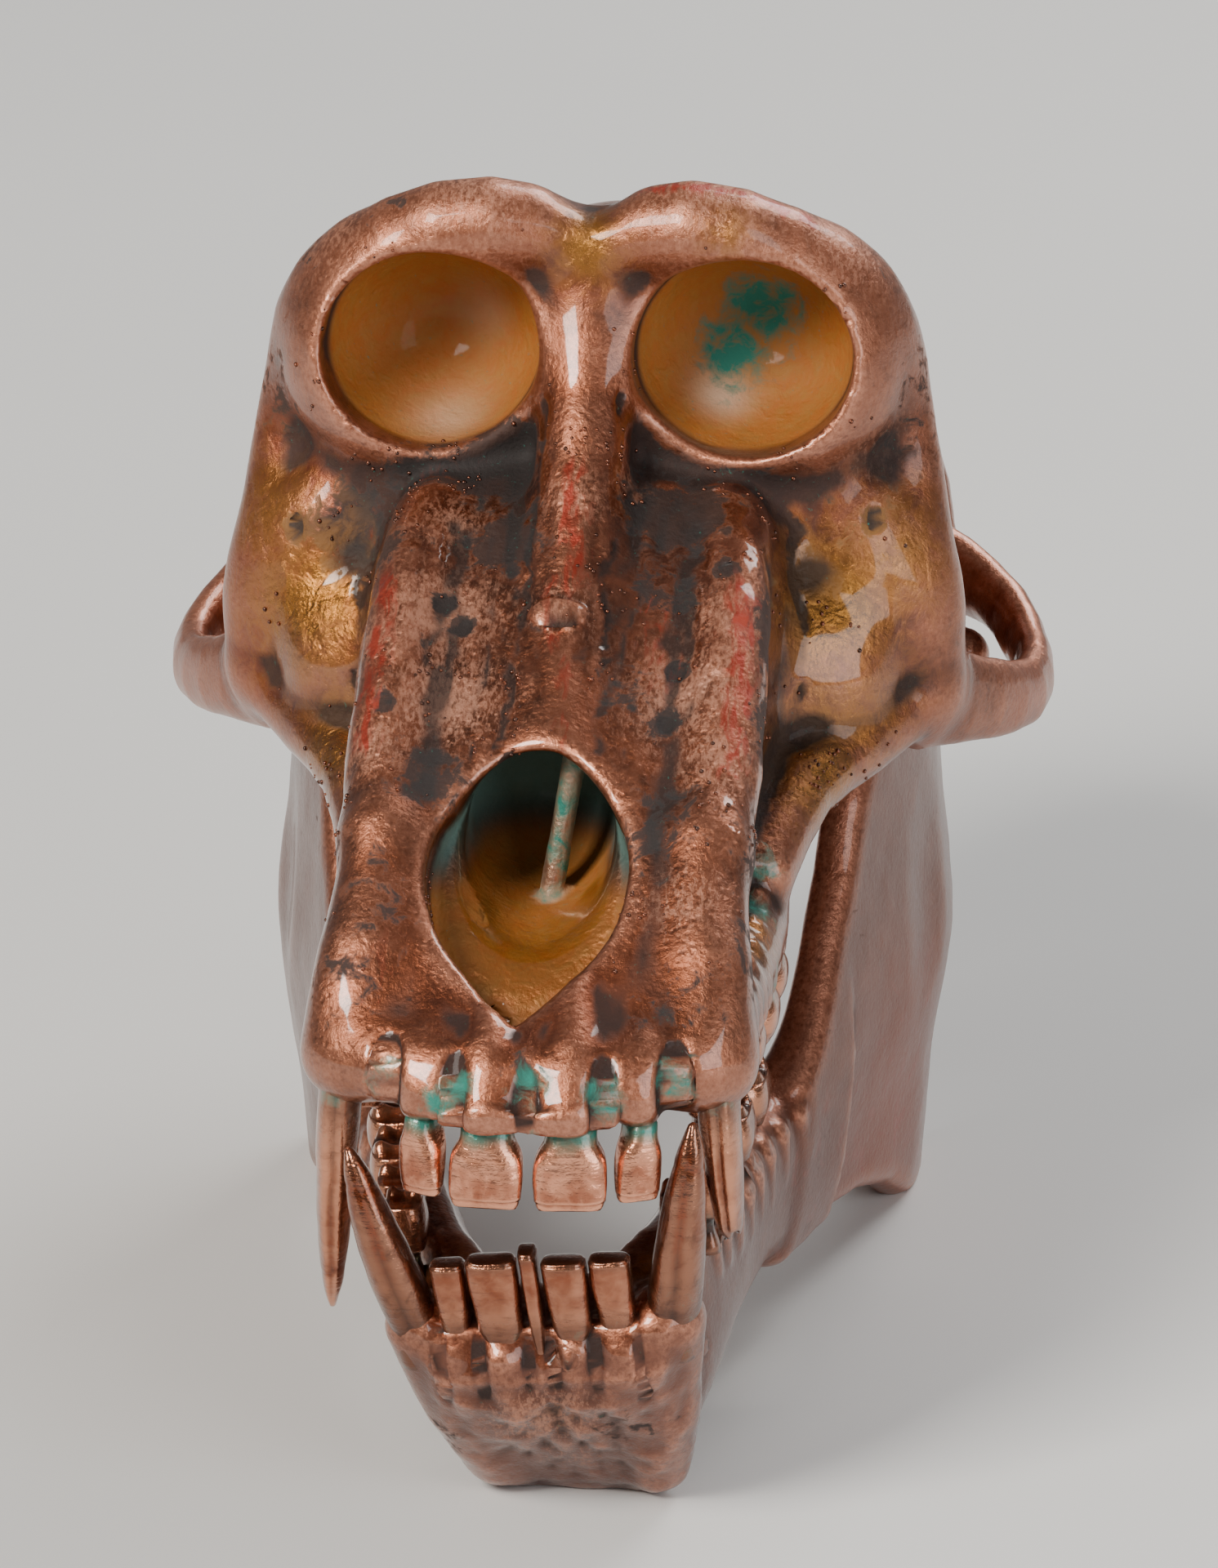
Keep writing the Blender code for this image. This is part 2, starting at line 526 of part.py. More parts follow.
def upper_teeth(skull, ivory):
    for side, sign in (("left", 1), ("right", -1)):
        for name, x, y, turn, half, height in UPPER_INCISORS:
            tooth_in(skull, f"upper_{side}_{name}_incisor", straight, ivory, grid_tooth,
                     (sign * x + 1, y), GUM_Z, -1, half, sign * turn, INCISOR_LEAN, height, INCISOR, 0)
        tooth_in(skull, f"upper_{side}_canine", straight, ivory, canine_tooth,
                 mirrored(UPPER_CANINE["gum"], sign), mirrored(UPPER_CANINE[side], sign),
                 UPPER_CANINE["half"], side == "left")
        for name, ridges, (spot, half, height), _ in CHEEK_TEETH:
            tooth_in(skull, f"upper_{side}_{name}", straight, ivory, grid_tooth,
                     (sign * spot[0], spot[1]), GUM_Z, -1, half, 90, 0, height, CHEEK, ridges)


def lower_teeth(mandible, ivory):
    for name, x, half_width, height in LOWER_INCISORS:
        tooth_in(mandible, name, askew, ivory, grid_tooth, (x, -87.4 + 0.012 * x * x), JAW_FRONT_GUM_Z, 1,
                 (half_width, LOWER_INCISOR_HALF_DEPTH), 0, INCISOR_LEAN, height, INCISOR, 0)
    for side, sign in (("left", 1), ("right", -1)):
        tooth_in(mandible, f"lower_{side}_canine", askew, ivory, canine_tooth,
                 mirrored(LOWER_CANINE["gum"], sign), mirrored(LOWER_CANINE[side], sign),
                 LOWER_CANINE["half"], False)
        for name, ridges, _, (spot, half, height) in CHEEK_TEETH:
            tooth_in(mandible, f"lower_{side}_{name}", askew, ivory, grid_tooth,
                     (sign * spot[0], spot[1]), JAW_GUM_Z, 1, half, 90, 0, height, CHEEK, ridges)


def mirrored(point, sign):
    return sign * point[0], point[1], point[2]


def straight(x, y, z):
    return x, y, z


def in_part(point):
    """A point of the design, in the part's own frame and in metres."""
    return (Vector(point) - Vector((0, NOTCH_TO_MIDDLE, 0))) * MM


# Objects
def bone(name, field, low, high, triangles, material):
    points, faces = surface(field, low, high, GRID)
    points = settled(field, points)
    mesh = bpy.data.meshes.new(name)
    mesh.from_pydata([in_part(point) for point in points], [], faces.tolist())
    mesh.materials.append(material)
    mesh.shade_smooth()
    obj = bpy.data.objects.new(name, mesh)
    bpy.context.scene.collection.objects.link(obj)
    even = obj.modifiers.new("even faces", "REMESH")
    even.mode = "VOXEL"
    even.voxel_size = VOXEL * MM
    fewer = obj.modifiers.new("fewer faces", "DECIMATE")
    fewer.ratio = triangles / (2 * len(faces) * (GRID / VOXEL) ** 2)
    return obj


def floor_cutter(material):
    """A block below the floor, which leaves the jaw its flat resting places."""
    mesh = bmesh.new()
    place = Matrix.Translation((0, -20, -10)) @ Matrix.Diagonal((130, 180, 20, 1))
    bmesh.ops.create_cube(mesh, size=1, matrix=place)
    return tooth_object("floor_cutter", mesh, straight, material)


def finish(name, colour, metallic, roughness):
    material = bpy.data.materials.new(name)
    material.use_nodes = True
    shader = material.node_tree.nodes["Principled BSDF"]
    shader.inputs["Base Color"].default_value = (*colour, 1)
    shader.inputs["Metallic"].default_value = metallic
    shader.inputs["Roughness"].default_value = roughness
    return material


def main():
    for obj in list(bpy.data.objects):
        bpy.data.objects.remove(obj)
    skull_copper = finish("aged_copper", (0.36, 0.17, 0.10), 0.9, 0.42)
    jaw_copper = finish("dark_copper", (0.26, 0.11, 0.06), 0.9, 0.45)
    tooth_copper = finish("bright_copper", (0.72, 0.40, 0.28), 1.0, 0.28)
    skull = bone("cranium", cranium, (-62, -104, 46), (62, 112, 150), CRANIUM_TRIANGLES, skull_copper)
    mandible = bone("mandible", jaw, (-52, -100, -8), (52, 54, 94), JAW_TRIANGLES, jaw_copper)
    upper_teeth(skull, tooth_copper)
    lower_teeth(mandible, tooth_copper)
    cut(mandible, floor_cutter(jaw_copper))


main()
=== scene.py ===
"""A baboon's skull in aged copper plating, standing on its lower jaw.

The bones are distance fields in millimetres, sampled and meshed, then settled on a finer field that adds
sutures, small holes, tooth roots and the grain of the bone. The teeth are turned stacks of rings.
Each mesh carries masks on its points, which the copper material turns into worn bright, dark, red, amber
and green places, with painted shade in hollows, creases and small holes, and painted highlights on edges.
"""

import math

import bmesh
import bpy
import numpy as np
from bpy.props import FloatProperty, IntProperty, PointerProperty
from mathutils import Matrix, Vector


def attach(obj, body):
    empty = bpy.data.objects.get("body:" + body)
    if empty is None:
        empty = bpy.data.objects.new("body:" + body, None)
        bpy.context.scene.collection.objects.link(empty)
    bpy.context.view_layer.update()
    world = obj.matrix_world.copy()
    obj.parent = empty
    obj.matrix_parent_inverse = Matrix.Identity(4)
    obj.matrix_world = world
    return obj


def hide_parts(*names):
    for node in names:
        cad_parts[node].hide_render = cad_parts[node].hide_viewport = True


bl_info = {
    "name": "Copper Baboon Skull",
    "version": (1, 0, 0),
    "blender": (4, 5, 0),
    "location": "View3D > Sidebar > Skull",
    "description": "Builds a copper-plated baboon skull, its jaw and its teeth, on a pale studio floor",
    "category": "Add Mesh",
}

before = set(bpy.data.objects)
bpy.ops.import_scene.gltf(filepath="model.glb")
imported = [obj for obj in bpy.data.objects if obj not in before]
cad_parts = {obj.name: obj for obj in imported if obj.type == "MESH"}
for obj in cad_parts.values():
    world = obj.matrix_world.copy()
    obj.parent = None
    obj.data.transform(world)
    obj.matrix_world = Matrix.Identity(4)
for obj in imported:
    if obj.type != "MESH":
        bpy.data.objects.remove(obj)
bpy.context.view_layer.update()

MM = 0.001
BODY = "root"
NOTCH_TO_MIDDLE = 4.8       # from below the notch between the brows, where y = 0, to the length's middle
GRID = 1.6                  # spacing of the grid that the bones are first sampled on


# Fields: a point is (x, y, z) arrays in millimetres, and a field is negative inside
def join(a, b, soft):
    """Both bodies, with a fillet of about the given size between them."""
    mix = np.clip(0.5 + 0.5 * (b - a) / soft, 0, 1)
    return b + (a - b) * mix - soft * mix * (1 - mix)


def carve(a, b, soft):
    """The first body with the second cut out of it."""
    return -join(-a, b, soft)


def keep(a, b, soft):
    """What the two bodies share."""
    return -join(-a, -b, soft)


def turned(p, centre, pitch=0.0, yaw=0.0):
    """The point seen from a centre whose axes are pitched about X and then yawed about Z, in degrees."""
    x, y, z = (a - c for a, c in zip(p, centre))
    if yaw:
        c, s = np.cos(np.radians(yaw)), np.sin(np.radians(yaw))
        x, y = c * x + s * y, c * y - s * x
    if pitch:
        c, s = np.cos(np.radians(pitch)), np.sin(np.radians(pitch))
        y, z = c * y + s * z, c * z - s * y
    return x, y, z


def egg(p, centre, radii, pitch=0.0, yaw=0.0):
    q = turned(p, centre, pitch, yaw)
    near = np.sqrt(sum((a / r) ** 2 for a, r in zip(q, radii)))
    slope = np.sqrt(sum((a / r**2) ** 2 for a, r in zip(q, radii)))
    return near * (near - 1) / np.maximum(slope, 1e-6)


def rod(p, start, end, squash=(1, 1, 1)):
    """A round cone between two (x, y, z, radius) ends. Squash above 1 makes it thinner along that axis."""
    a, b, s = np.array(start[:3]), np.array(end[:3]), np.array(squash)
    q = [(c - c0) * k for c, c0, k in zip(p, a, s)]
    d = (b - a) * s
    t = np.clip(sum(c * k for c, k in zip(q, d)) / (d @ d), 0, 1)
    away = np.sqrt(sum((c - t * k) ** 2 for c, k in zip(q, d)))
    return away - (start[3] + t * (end[3] - start[3]))


def limb(p, points, squash=(1, 1, 1)):
    """Rods end to end along a smooth line through (x, y, z, radius) points."""
    steps = np.linspace(0, len(points) - 1, 2 * len(points) - 1)
    line = np.stack([curve(steps, list(enumerate(values))) for values in zip(*points)], 1)
    return np.minimum.reduce([rod(p, start, end, squash) for start, end in zip(line, line[1:])])


def curve(t, knots):
    """A smooth value along t through (t, value) knots, held flat past the ends."""
    ts, vs = (np.array(k, float) for k in zip(*knots))
    steps, rises = np.diff(ts), np.diff(vs)
    slopes = rises / steps
    inner = (slopes[:-1] * steps[1:] + slopes[1:] * steps[:-1]) / (steps[:-1] + steps[1:])
    tangents = np.concatenate([slopes[:1], inner, slopes[-1:]])
    t = np.clip(t, ts[0], ts[-1])
    i = np.clip(np.searchsorted(ts, t, side="right") - 1, 0, len(ts) - 2)
    w, u = steps[i], (t - ts[i]) / steps[i]
    return (
        vs[i] * (1 + 2 * u) * (1 - u) ** 2
        + vs[i + 1] * u**2 * (3 - 2 * u)
        + w * (tangents[i] * u * (1 - u) ** 2 - tangents[i + 1] * u**2 * (1 - u))
    )


def slab(x, z, wide, high, boxy):
    """A section that is an ellipse at boxy 2 and nears a rectangle above it."""
    shape = (np.abs(x / wide) ** boxy + np.abs(z / high) ** boxy) ** (1 / boxy)
    return (shape - 1) * np.minimum(wide, high)


def outline(u, v, corners):
    """Distance to a closed outline of corners in a plane, negative inside."""
    nearest = np.full(u.shape, 1e9)
    inside = np.zeros(u.shape, bool)
    for (u0, v0), (u1, v1) in zip(corners, corners[1:] + corners[:1]):
        du, dv = u1 - u0, v1 - v0
        t = np.clip(((u - u0) * du + (v - v0) * dv) / (du * du + dv * dv), 0, 1)
        nearest = np.minimum(nearest, (u - u0 - t * du) ** 2 + (v - v0 - t * dv) ** 2)
        crosses = (v0 > v) != (v1 > v)
        if dv:
            inside ^= crosses & (u < u0 + (v - v0) * du / dv)
    return np.where(inside, -1, 1) * np.sqrt(nearest)


# The upper skull's forms, for the side with x above 0. The other side mirrors it.
BROW_AND_CHEEK_RIM = [
    (0, -1, 135.2, 5.5), (12.5, -4, 138, 6.0), (23, -3, 135.4, 5.8), (31.8, 1.5, 127.3, 5.4),
    (35.8, 4, 118, 5.2), (37.6, 4, 108, 5.4), (38.5, 1, 98, 6.2), (39.3, -1, 88, 6.5), (40, -1, 80.5, 6.0),
]
CHEEK_ARCH = [
    (41, 0, 77.5, 4.4), (48.5, 9, 73.8, 3.1), (53.6, 20, 71.2, 2.7), (54, 30, 71.6, 2.7),
    (50.5, 40, 74.2, 2.9), (43.5, 47, 77.5, 3.2), (36, 50, 79, 4.2),
]
CHEEK_CREST = [(41, -2, 78.5, 4.5), (34, -11, 74.5, 4.5), (27.5, -21, 72, 4.6), (23.5, -34, 66, 4.5)]
GUM_RIDGE = [
    (0, -88.9, 60.0, 3.3), (9, -87.4, 60.0, 3.4), (16, -84.5, 59.5, 3.8), (20.8, -79, 58.8, 4.5),
    (21, -70, 58.8, 4.4), (21.4, -56, 58.8, 4.6), (22, -44, 59, 4.9), (22, -30, 60, 4.9),
    (20, -21, 62.5, 4.2),
]
CANINE_ROOT = [(21, -80, 59, 4.8), (20.2, -74, 68.5, 5.0), (19, -62, 77.5, 4.6)]
SNOUT_RIDGE = [
    (18, -16, 103.5, 4.5), (19.5, -27, 99.8, 4.6), (19.8, -40, 92.2, 4.8), (20, -52, 84.6, 4.8),
    (19.5, -61, 78.8, 4.6),
]
SNOUT_TOP = [
    (-94, 58), (-90, 62), (-82, 67.5), (-70, 77), (-56, 87), (-40, 96.5), (-22, 106), (-12, 109), (4, 108),
]
SNOUT_BASE = [(-94, 55), (-60, 55), (-30, 56), (-20, 61), (-8, 68), (4, 72)]
SNOUT_HALF_WIDTH = [
    (-95, 5), (-93, 10), (-89, 15.5), (-83, 20), (-70, 21), (-50, 21.3), (-30, 22.5), (-15, 26), (4, 27),
]
NOSE_BRIDGE = [
    (0, -1, 133, 6.6), (0, -6.5, 124, 5.4), (0, -17, 110, 5.6), (0, -38, 94, 4.8), (0, -54, 84.4, 4.2),
]
SKULL_CREST = [
    (39, 58, 80, 3.4), (36, 74, 86, 3.2), (25, 91, 90, 3.2), (12, 99, 91, 3.4), (0, 101, 91.5, 3.8),
]
BONY_EAR = [(20, 50, 71, 4.6), (40, 56, 74.5, 4.4)]
PALATE_WING = [(-21, 60), (-20, 74), (-4, 74), (-3, 66), (-10, 54), (-17, 53)]
SOCKET_MOUTH = [(19.7, -22, 124.0, 13.2), (19.2, -7, 123.4, 13.0)]
SOCKET_SQUASH = (0.97, 1, 1.06)
SOCKET_BOWL = {"centre": (19.2, -7, 123.4), "radii": (13.4, 15, 12.3)}
NOSE_OPENING_X = -1.5       # the opening of this nose stands a little to one side
NOSE_STRUT = [(2.4, -48, 86, 1.6), (-1.4, -52, 61.5, 1.6)]
NOSE_MOUTH = {"centre": (0, -69.5, 75.5), "pitch": 42, "half_height": 18.6, "ahead": 15, "behind": 7}
NOSE_MOUTH_HALF_WIDTH = [(-20, 1.5), (-14, 5.6), (-8, 9.4), (0, 11.6), (8, 11.4), (14, 9.4), (19, 7.0)]
NOSE_PASSAGE = [(0, -70, 75.5, 9.4), (0, -47, 77.5, 8.8)]
FRONT_TEETH_X = 1           # the middle of the upper front teeth
INCISOR_ROOTS = [
    [(4.9, -90.9, 57, 3.6), (4.7, -87.6, 62, 3.0), (4.4, -79.8, 67.5, 1.6)],
    [(12.6, -88.0, 57, 3.0), (12.2, -84.2, 62, 2.5), (11.6, -76.5, 67.0, 1.6)],
]
SKULL_SWELLS = [
    # centre, radii, pitch, yaw, fillet: the braincase, its base, its front, then its floor
    ((0, 55, 93), (34.5, 47, 30.5), -14, 0, 6),
    ((22, 54, 78), (17, 24, 13), 0, 0, 6),
    ((0, 12, 117), (27, 22, 18), -10, 0, 8),
    ((0, 28, 78), (17, 36, 13), 0, 0, 8),
    # the cheeks, then the mastoid and the joint heads for the neck
    ((27, -2, 93), (15, 9, 17), 0, -14, 5),
    ((36, -1, 88), (9.5, 6, 14), 0, 0, 4),
    ((28, -9, 82), (10, 9, 11), 0, 0, 6),
    ((33, 64, 71), (7, 9, 7), 0, 0, 3),
    ((9.5, 58, 62), (4.2, 7.5, 4.6), 0, 0, 2),
]
SOCKET_WALL = [(22, 2, 121, 17.5), (13, 24, 114, 11)]
MUZZLE_HOLLOW = ((31, -46, 79.5), (9, 22, 12), 24, 0, 4)
SKULL_HOLLOWS = [
    # centre, radii, pitch, yaw, fillet: the notch between the brows, the temple, the palate and the throat
    ((0, 0, 147), (4.5, 12, 7), 0, 0, 4),
    ((41, 24, 108), (15, 17, 24), 0, 10, 5),
    ((0, -50, 54), (15.5, 38, 6.5), 0, 0, 3),
    ((0, -9, 68), (8.5, 9, 8), 0, 0, 2),
    # the jaw's socket and the hole for the spine
    ((37.6, 40, 67), (12, 8.2, 8.8), 0, 0, 2),
    ((0, 68, 58), (8.0, 9.0, 13), -25, 0, 2),
]


def snout(x, y, z):
    low, high = curve(y, SNOUT_BASE), curve(y, SNOUT_TOP)
    section = slab(x, z - (low + high) / 2, curve(y, SNOUT_HALF_WIDTH), (high - low) / 2, 3.6)
    return np.maximum(section, np.maximum(-95 - y, y - 6))


def nose_opening(p):
    """The pear-shaped opening, which leans forward, and the passage behind it."""
    x, along, deep = turned(p, NOSE_MOUTH["centre"], pitch=NOSE_MOUTH["pitch"])
    mouth = slab(x, along, curve(along, NOSE_MOUTH_HALF_WIDTH), NOSE_MOUTH["half_height"], 3)
    mouth = np.maximum(mouth, np.maximum(deep - NOSE_MOUTH["ahead"], -deep - NOSE_MOUTH["behind"]))
    return join(mouth, rod(p, *NOSE_PASSAGE), 3)


def eye_socket(p):
    """The round way in between the rims, and the shallow bowl at its end."""
    return np.minimum(rod(p, *SOCKET_MOUTH, SOCKET_SQUASH), egg(p, **SOCKET_BOWL))


def palate_wing(s, y, z):
    middle = 11.5 - 0.12 * (z - 60)
    return np.maximum(outline(y, z, PALATE_WING), np.abs(s - middle) - 1.9)


def cranium(x, y, z):
    s = np.abs(x)
    p = (s, y, z)
    f = join(snout(x, y, z), rod(p, *SOCKET_WALL), 5)
    for centre, radii, pitch, yaw, soft in SKULL_SWELLS:
        f = join(f, egg(p, centre, radii, pitch, yaw), soft)
    for points, soft in (
        (BROW_AND_CHEEK_RIM, 3.5), (CHEEK_CREST, 3), (NOSE_BRIDGE, 4), (GUM_RIDGE, 3), (SKULL_CREST, 3),
        (BONY_EAR, 3),
    ):
        f = join(f, limb(p, points), soft)
    f = join(f, limb(p, CHEEK_ARCH, squash=(1, 1, 0.6)), 3)
    f = join(f, palate_wing(s, y, z), 2)
    centre, radii, pitch, yaw, soft = MUZZLE_HOLLOW
    f = carve(f, egg(p, centre, radii, pitch, yaw), soft)
    f = join(f, limb(p, SNOUT_RIDGE), 3.5)
    f = join(f, limb(p, CANINE_ROOT), 4.5)
    for centre, radii, pitch, yaw, soft in SKULL_HOLLOWS:
        f = carve(f, egg(p, centre, radii, pitch, yaw), soft)
    for root in INCISOR_ROOTS:
        f = join(f, limb((np.abs(x - FRONT_TEETH_X), y, z), root), 1.8)
    f = carve(f, eye_socket(p), 1.2)
    f = carve(f, nose_opening((x - NOSE_OPENING_X, y, z)), 1.5)
    return join(f, rod((x, y, z), *NOSE_STRUT), 1)


# The lower jaw's forms
RAMUS = [
    (-26, 34), (-27, 13), (-12, 12), (2, 10.5), (14, 6.5), (23, 1), (30, -2.5), (37, 1), (39.5, 18),
    (39, 40), (41, 58), (45, 66), (44, 72), (37, 72), (31.5, 63.5), (26, 63), (21, 71), (18.5, 80),
    (14.5, 80.5), (10, 78), (6, 71), (-1, 63), (-6, 55), (-15, 45),
]
RAMUS_MIDDLE_X = [(-34, 22.5), (-22, 25.5), (-2, 31.5), (12, 36), (22, 38.4), (32, 38.9), (46, 37.8)]
RAMUS_FLARE = [(0, -1.6), (16, -0.3), (36, 2.2), (54, 0.6), (72, -0.6)]
BODY_MIDDLE_X = [
    (-90, 5), (-82, 7.5), (-76, 9.8), (-66, 13.6), (-55, 16.8), (-42, 19.2), (-28, 23), (-12, 28.5),
]
BODY_HALF_WIDTH = [(-90, 6), (-76, 5.4), (-60, 5), (-45, 5.2), (-30, 5.6), (-12, 5)]
BODY_TOP = [(-90, 26), (-82, 28), (-74, 32), (-60, 33.5), (-30, 34.5), (-12, 37)]
BODY_BASE = [(-90, 20), (-82, 13), (-72, 7), (-62, 9), (-52, 12.5), (-40, 13.5), (-26, 12.5), (-12, 12)]
CHIN = [(-89, 22), (-87.5, 27), (-76, 28.5), (-64, 22), (-57, 8), (-57, -3), (-67, -3), (-74, 3), (-82, 12)]
CHIN_HALF_WIDTH = [(-3, 9.5), (8, 10.8), (20, 13), (30, 14.5)]
LOWER_CANINE_ROOT = [(14.8, -84.2, 27, 4.4), (12.5, -79, 14, 4.0), (10, -73, 5, 3.6)]
LOWER_INCISOR_ROOTS = [
    [(9.1, -87.2, 24.5, 2.5), (7.8, -85.2, 17, 1.6)], [(3.4, -88.0, 24.5, 2.6), (2.9, -86.2, 18, 1.6)],
    [(-5.0, -87.7, 24, 3.0), (-4.3, -86, 17, 2.0)], [(-10.6, -86.8, 24.5, 2.4), (-9.1, -84.8, 18, 1.5)],
]
JAW_HOLLOWS = [
    # centre, radii, pitch, fillet: the hollow outside the ramus, then the one behind the chin
    ((47, 14, 46), (6, 10, 18), -12, 3), ((0, -60, 26), (7, 18, 10), -28, 3),
]
CONDYLE = [(31.5, 40, 69.0, 3.4), (38, 41, 69.8, 3.8), (44.5, 41, 68.6, 3.4)]


def shift(y, z):
    """How far the jaw's askew front stands to +X, and how much it tips up on that side."""
    front = np.clip((-30 - y) / 40, 0, 1)
    return 0.11 * (47 - z) * front, 0.07 * front * np.clip(z / 20, 0, 1)


def straightened(x, y, z):
    """The point of the straight jaw that comes to (x, y, z) in the askew one."""
    aside, tip = shift(y, z)
    return x - aside, y, z - tip * x


def askew(x, y, z):
    aside, tip = shift(y, z)
    return x + aside, y, z + tip * x


def jaw(x, y, z):
    x, y, z = straightened(x, y, z)
    p = (np.abs(x), y, z)
    s = p[0]
    low, high = curve(y, BODY_BASE), curve(y, BODY_TOP)
    middle = curve(y, BODY_MIDDLE_X) + 0.08 * (z - 22)
    body = slab(s - middle, z - (low + high) / 2, curve(y, BODY_HALF_WIDTH), (high - low) / 2, 3)
    f = np.maximum(body, np.maximum(-87 - y, y + 14))
    plate = np.abs(s - curve(y, RAMUS_MIDDLE_X) - curve(z, RAMUS_FLARE)) - 2.9
    f = join(f, keep(outline(y, z, RAMUS) - 1.5, plate, 3), 4)
    f = join(f, keep(outline(y, z, CHIN) - 1, s - curve(z, CHIN_HALF_WIDTH), 4), 3)
    f = join(f, limb(p, LOWER_CANINE_ROOT), 3)
    f = join(f, limb(p, CONDYLE), 2.5)
    for root in LOWER_INCISOR_ROOTS:
        f = join(f, limb((x, y, z), root), 1.2)
    for centre, radii, pitch, soft in JAW_HOLLOWS:
        f = carve(f, egg(p, centre, radii, pitch), soft)
    return f


# Meshing
def surface(field, low, high, step):
    """Points and four-sided faces of the field's zero surface, one point in each cell that it crosses."""
    axes = [np.arange(a, b + step, step, dtype=np.float32) for a, b in zip(low, high)]
    x, y, z = np.meshgrid(*axes, indexing="ij")
    f = field(x, y, z)
    inside = f < 0
    size = np.array(f.shape)
    total, count = np.zeros((*(size - 1), 3), np.float32), np.zeros(size - 1, np.int32)
    cell = tuple(slice(0, n - 1) for n in size)
    for axis in range(3):
        near = [slice(None)] * 3
        far = [slice(None)] * 3
        near[axis], far[axis] = slice(0, -1), slice(1, None)
        a, b = f[tuple(near)], f[tuple(far)]
        crossed = (a < 0) != (b < 0)
        t = np.where(crossed, a / np.where(crossed, a - b, 1), 0)
        others = [k for k in range(3) if k != axis]
        for i in (0, 1):
            for j in (0, 1):
                part = [slice(0, n - 1) for n in size]
                part[others[0]] = slice(i, size[others[0]] - 1 + i)
                part[others[1]] = slice(j, size[others[1]] - 1 + j)
                hit = crossed[tuple(part)]
                spot = np.zeros((*hit.shape, 3), np.float32)
                spot[..., axis] = t[tuple(part)]
                spot[..., others[0]] = i
                spot[..., others[1]] = j
                total += spot * hit[..., None]
                count += hit
    used = count > 0
    number = np.full(used.shape, -1, np.int64)
    number[used] = np.arange(used.sum())
    corner = np.argwhere(used)
    points = np.array(low) + step * (corner + total[used] / count[used][:, None])
    faces = []
    for axis in range(3):
        u, v = [k for k in range(3) if k != axis]
        part = [slice(1, n - 1) for n in size]
        part[axis] = slice(0, size[axis] - 1)
        far = list(part)
        far[axis] = slice(1, size[axis])
        starts, ends = inside[tuple(part)], inside[tuple(far)]
        at = np.argwhere(starts != ends)
        first = starts[tuple(at.T)]
        for k in range(3):
            at[:, k] += 1 if k != axis else 0
        ring = []
        for du, dv in ((0, 0), (-1, 0), (-1, -1), (0, -1)):
            c = at.copy()
            c[:, u] += du
            c[:, v] += dv
            ring.append(number[tuple(c.T)])
        quads = np.stack(ring, 1)
        outward = first if axis != 1 else ~first
        quads[~outward] = quads[~outward][:, ::-1]
        faces.append(quads)
    return points, np.concatenate(faces)


def settled(field, points, rounds=3, most=0.8):
    """Moves points onto the field's zero surface."""
    for _ in range(rounds):
        x, y, z = points.T
        f = field(x, y, z)
        e = 0.05
        slope = np.stack(
            [field(x + e, y, z) - f, field(x, y + e, z) - f, field(x, y, z + e) - f], 1
        ) / e
        move = f[:, None] * slope / np.maximum((slope**2).sum(1), 0.15)[:, None]
        points = points - np.clip(move, -most, most)
    return points


# Lumps and grain
def lumps(p, size, seed):
    """Smooth random values from -1 to 1, with features of the given (x, y, z) sizes in millimetres."""
    count = 32
    table = np.random.default_rng(seed).uniform(-1, 1, (count, count, count))
    low, blend = [], []
    for along, step in zip(p, size):
        cell = along / step
        whole = np.floor(cell)
        part = cell - whole
        low.append(whole.astype(int))
        blend.append(part * part * (3 - 2 * part))
    total = 0
    for i in (0, 1):
        for j in (0, 1):
            for k in (0, 1):
                share = 1
                for corner, b in zip((i, j, k), blend):
                    share = share * (b if corner else 1 - b)
                place = tuple((at + corner) % count for at, corner in zip(low, (i, j, k)))
                total = total + share * table[place]
    return total


def grain(p, layer):
    depth, size, seed = layer
    return depth * lumps(p, size, seed)


def step_up(value, low, high):
    """0 below low, 1 above high, and smooth between them."""
    t = np.clip((value - low) / (high - low), 0, 1)
    return t * t * (3 - 2 * t)


def near_line(p, points):
    """Distance to a line through (x, y, z) points."""
    return np.minimum.reduce([rod(p, (*a, 0), (*b, 0)) for a, b in zip(points, points[1:])])


def near_spot(p, spot, radius):
    """1 at a spot and 0 beyond a few radii from it."""
    return np.exp(-sum((a - b) ** 2 for a, b in zip(p, spot)) / radius**2)


# The skull's finer forms
NOSE_TAB = {"centre": (-0.8, -36.8, 98.4), "radii": (3.7, 6.6, 2.3), "pitch": -35}
BEAD_BY_THE_NOSE = {"centre": (22.9, -62.9, 83.6), "radii": (1.7, 1.7, 1.7)}
SUTURES = [
    # Cheekbone to muzzle, one on each side, then pairs beside the nose, and those of the braincase
    [(-19.8, -11.6, 107.6), (-24.8, -12.5, 102), (-26.8, -13.3, 95.8), (-27.5, -16, 88), (-27.5, -21, 79)],
    [(21.3, -8.3, 108.9), (26.1, -11.1, 102), (26.3, -14.9, 96.5), (27.6, -16, 88), (27.5, -21, 79)],
    [(-3.6, -10, 122), (-4.6, -22, 107.5), (-5.2, -34, 101), (-5.6, -46, 93.5), (-6.5, -55, 88)],
    [(3.4, -10, 122), (4.2, -22, 107.5), (5.0, -34, 101), (5.4, -46, 93.5), (5.5, -55, 88)],
    [(-10.5, -64, 82), (-9.8, -52, 90), (-8.6, -40, 97.3)],
    [(8.5, -64, 82), (9.0, -52, 90), (8.8, -40, 97.3)],
    [(-30, 34, 104), (-18, 30, 117), (0, 27, 123.5), (18, 30, 117), (30, 34, 104)],
    [(0, 27, 123.5), (0, 50, 124), (0, 76, 117), (0, 92, 104)],
    [(-33, 72, 96), (-20, 86, 105), (0, 92, 105), (20, 86, 105), (33, 72, 96)],
]
TEMPLE_LINES = [(32, 8, 128), (22, 20, 122.5), (15, 38, 122.3), (11.5, 60, 120.5), (8, 82, 110), (6, 95, 98)]
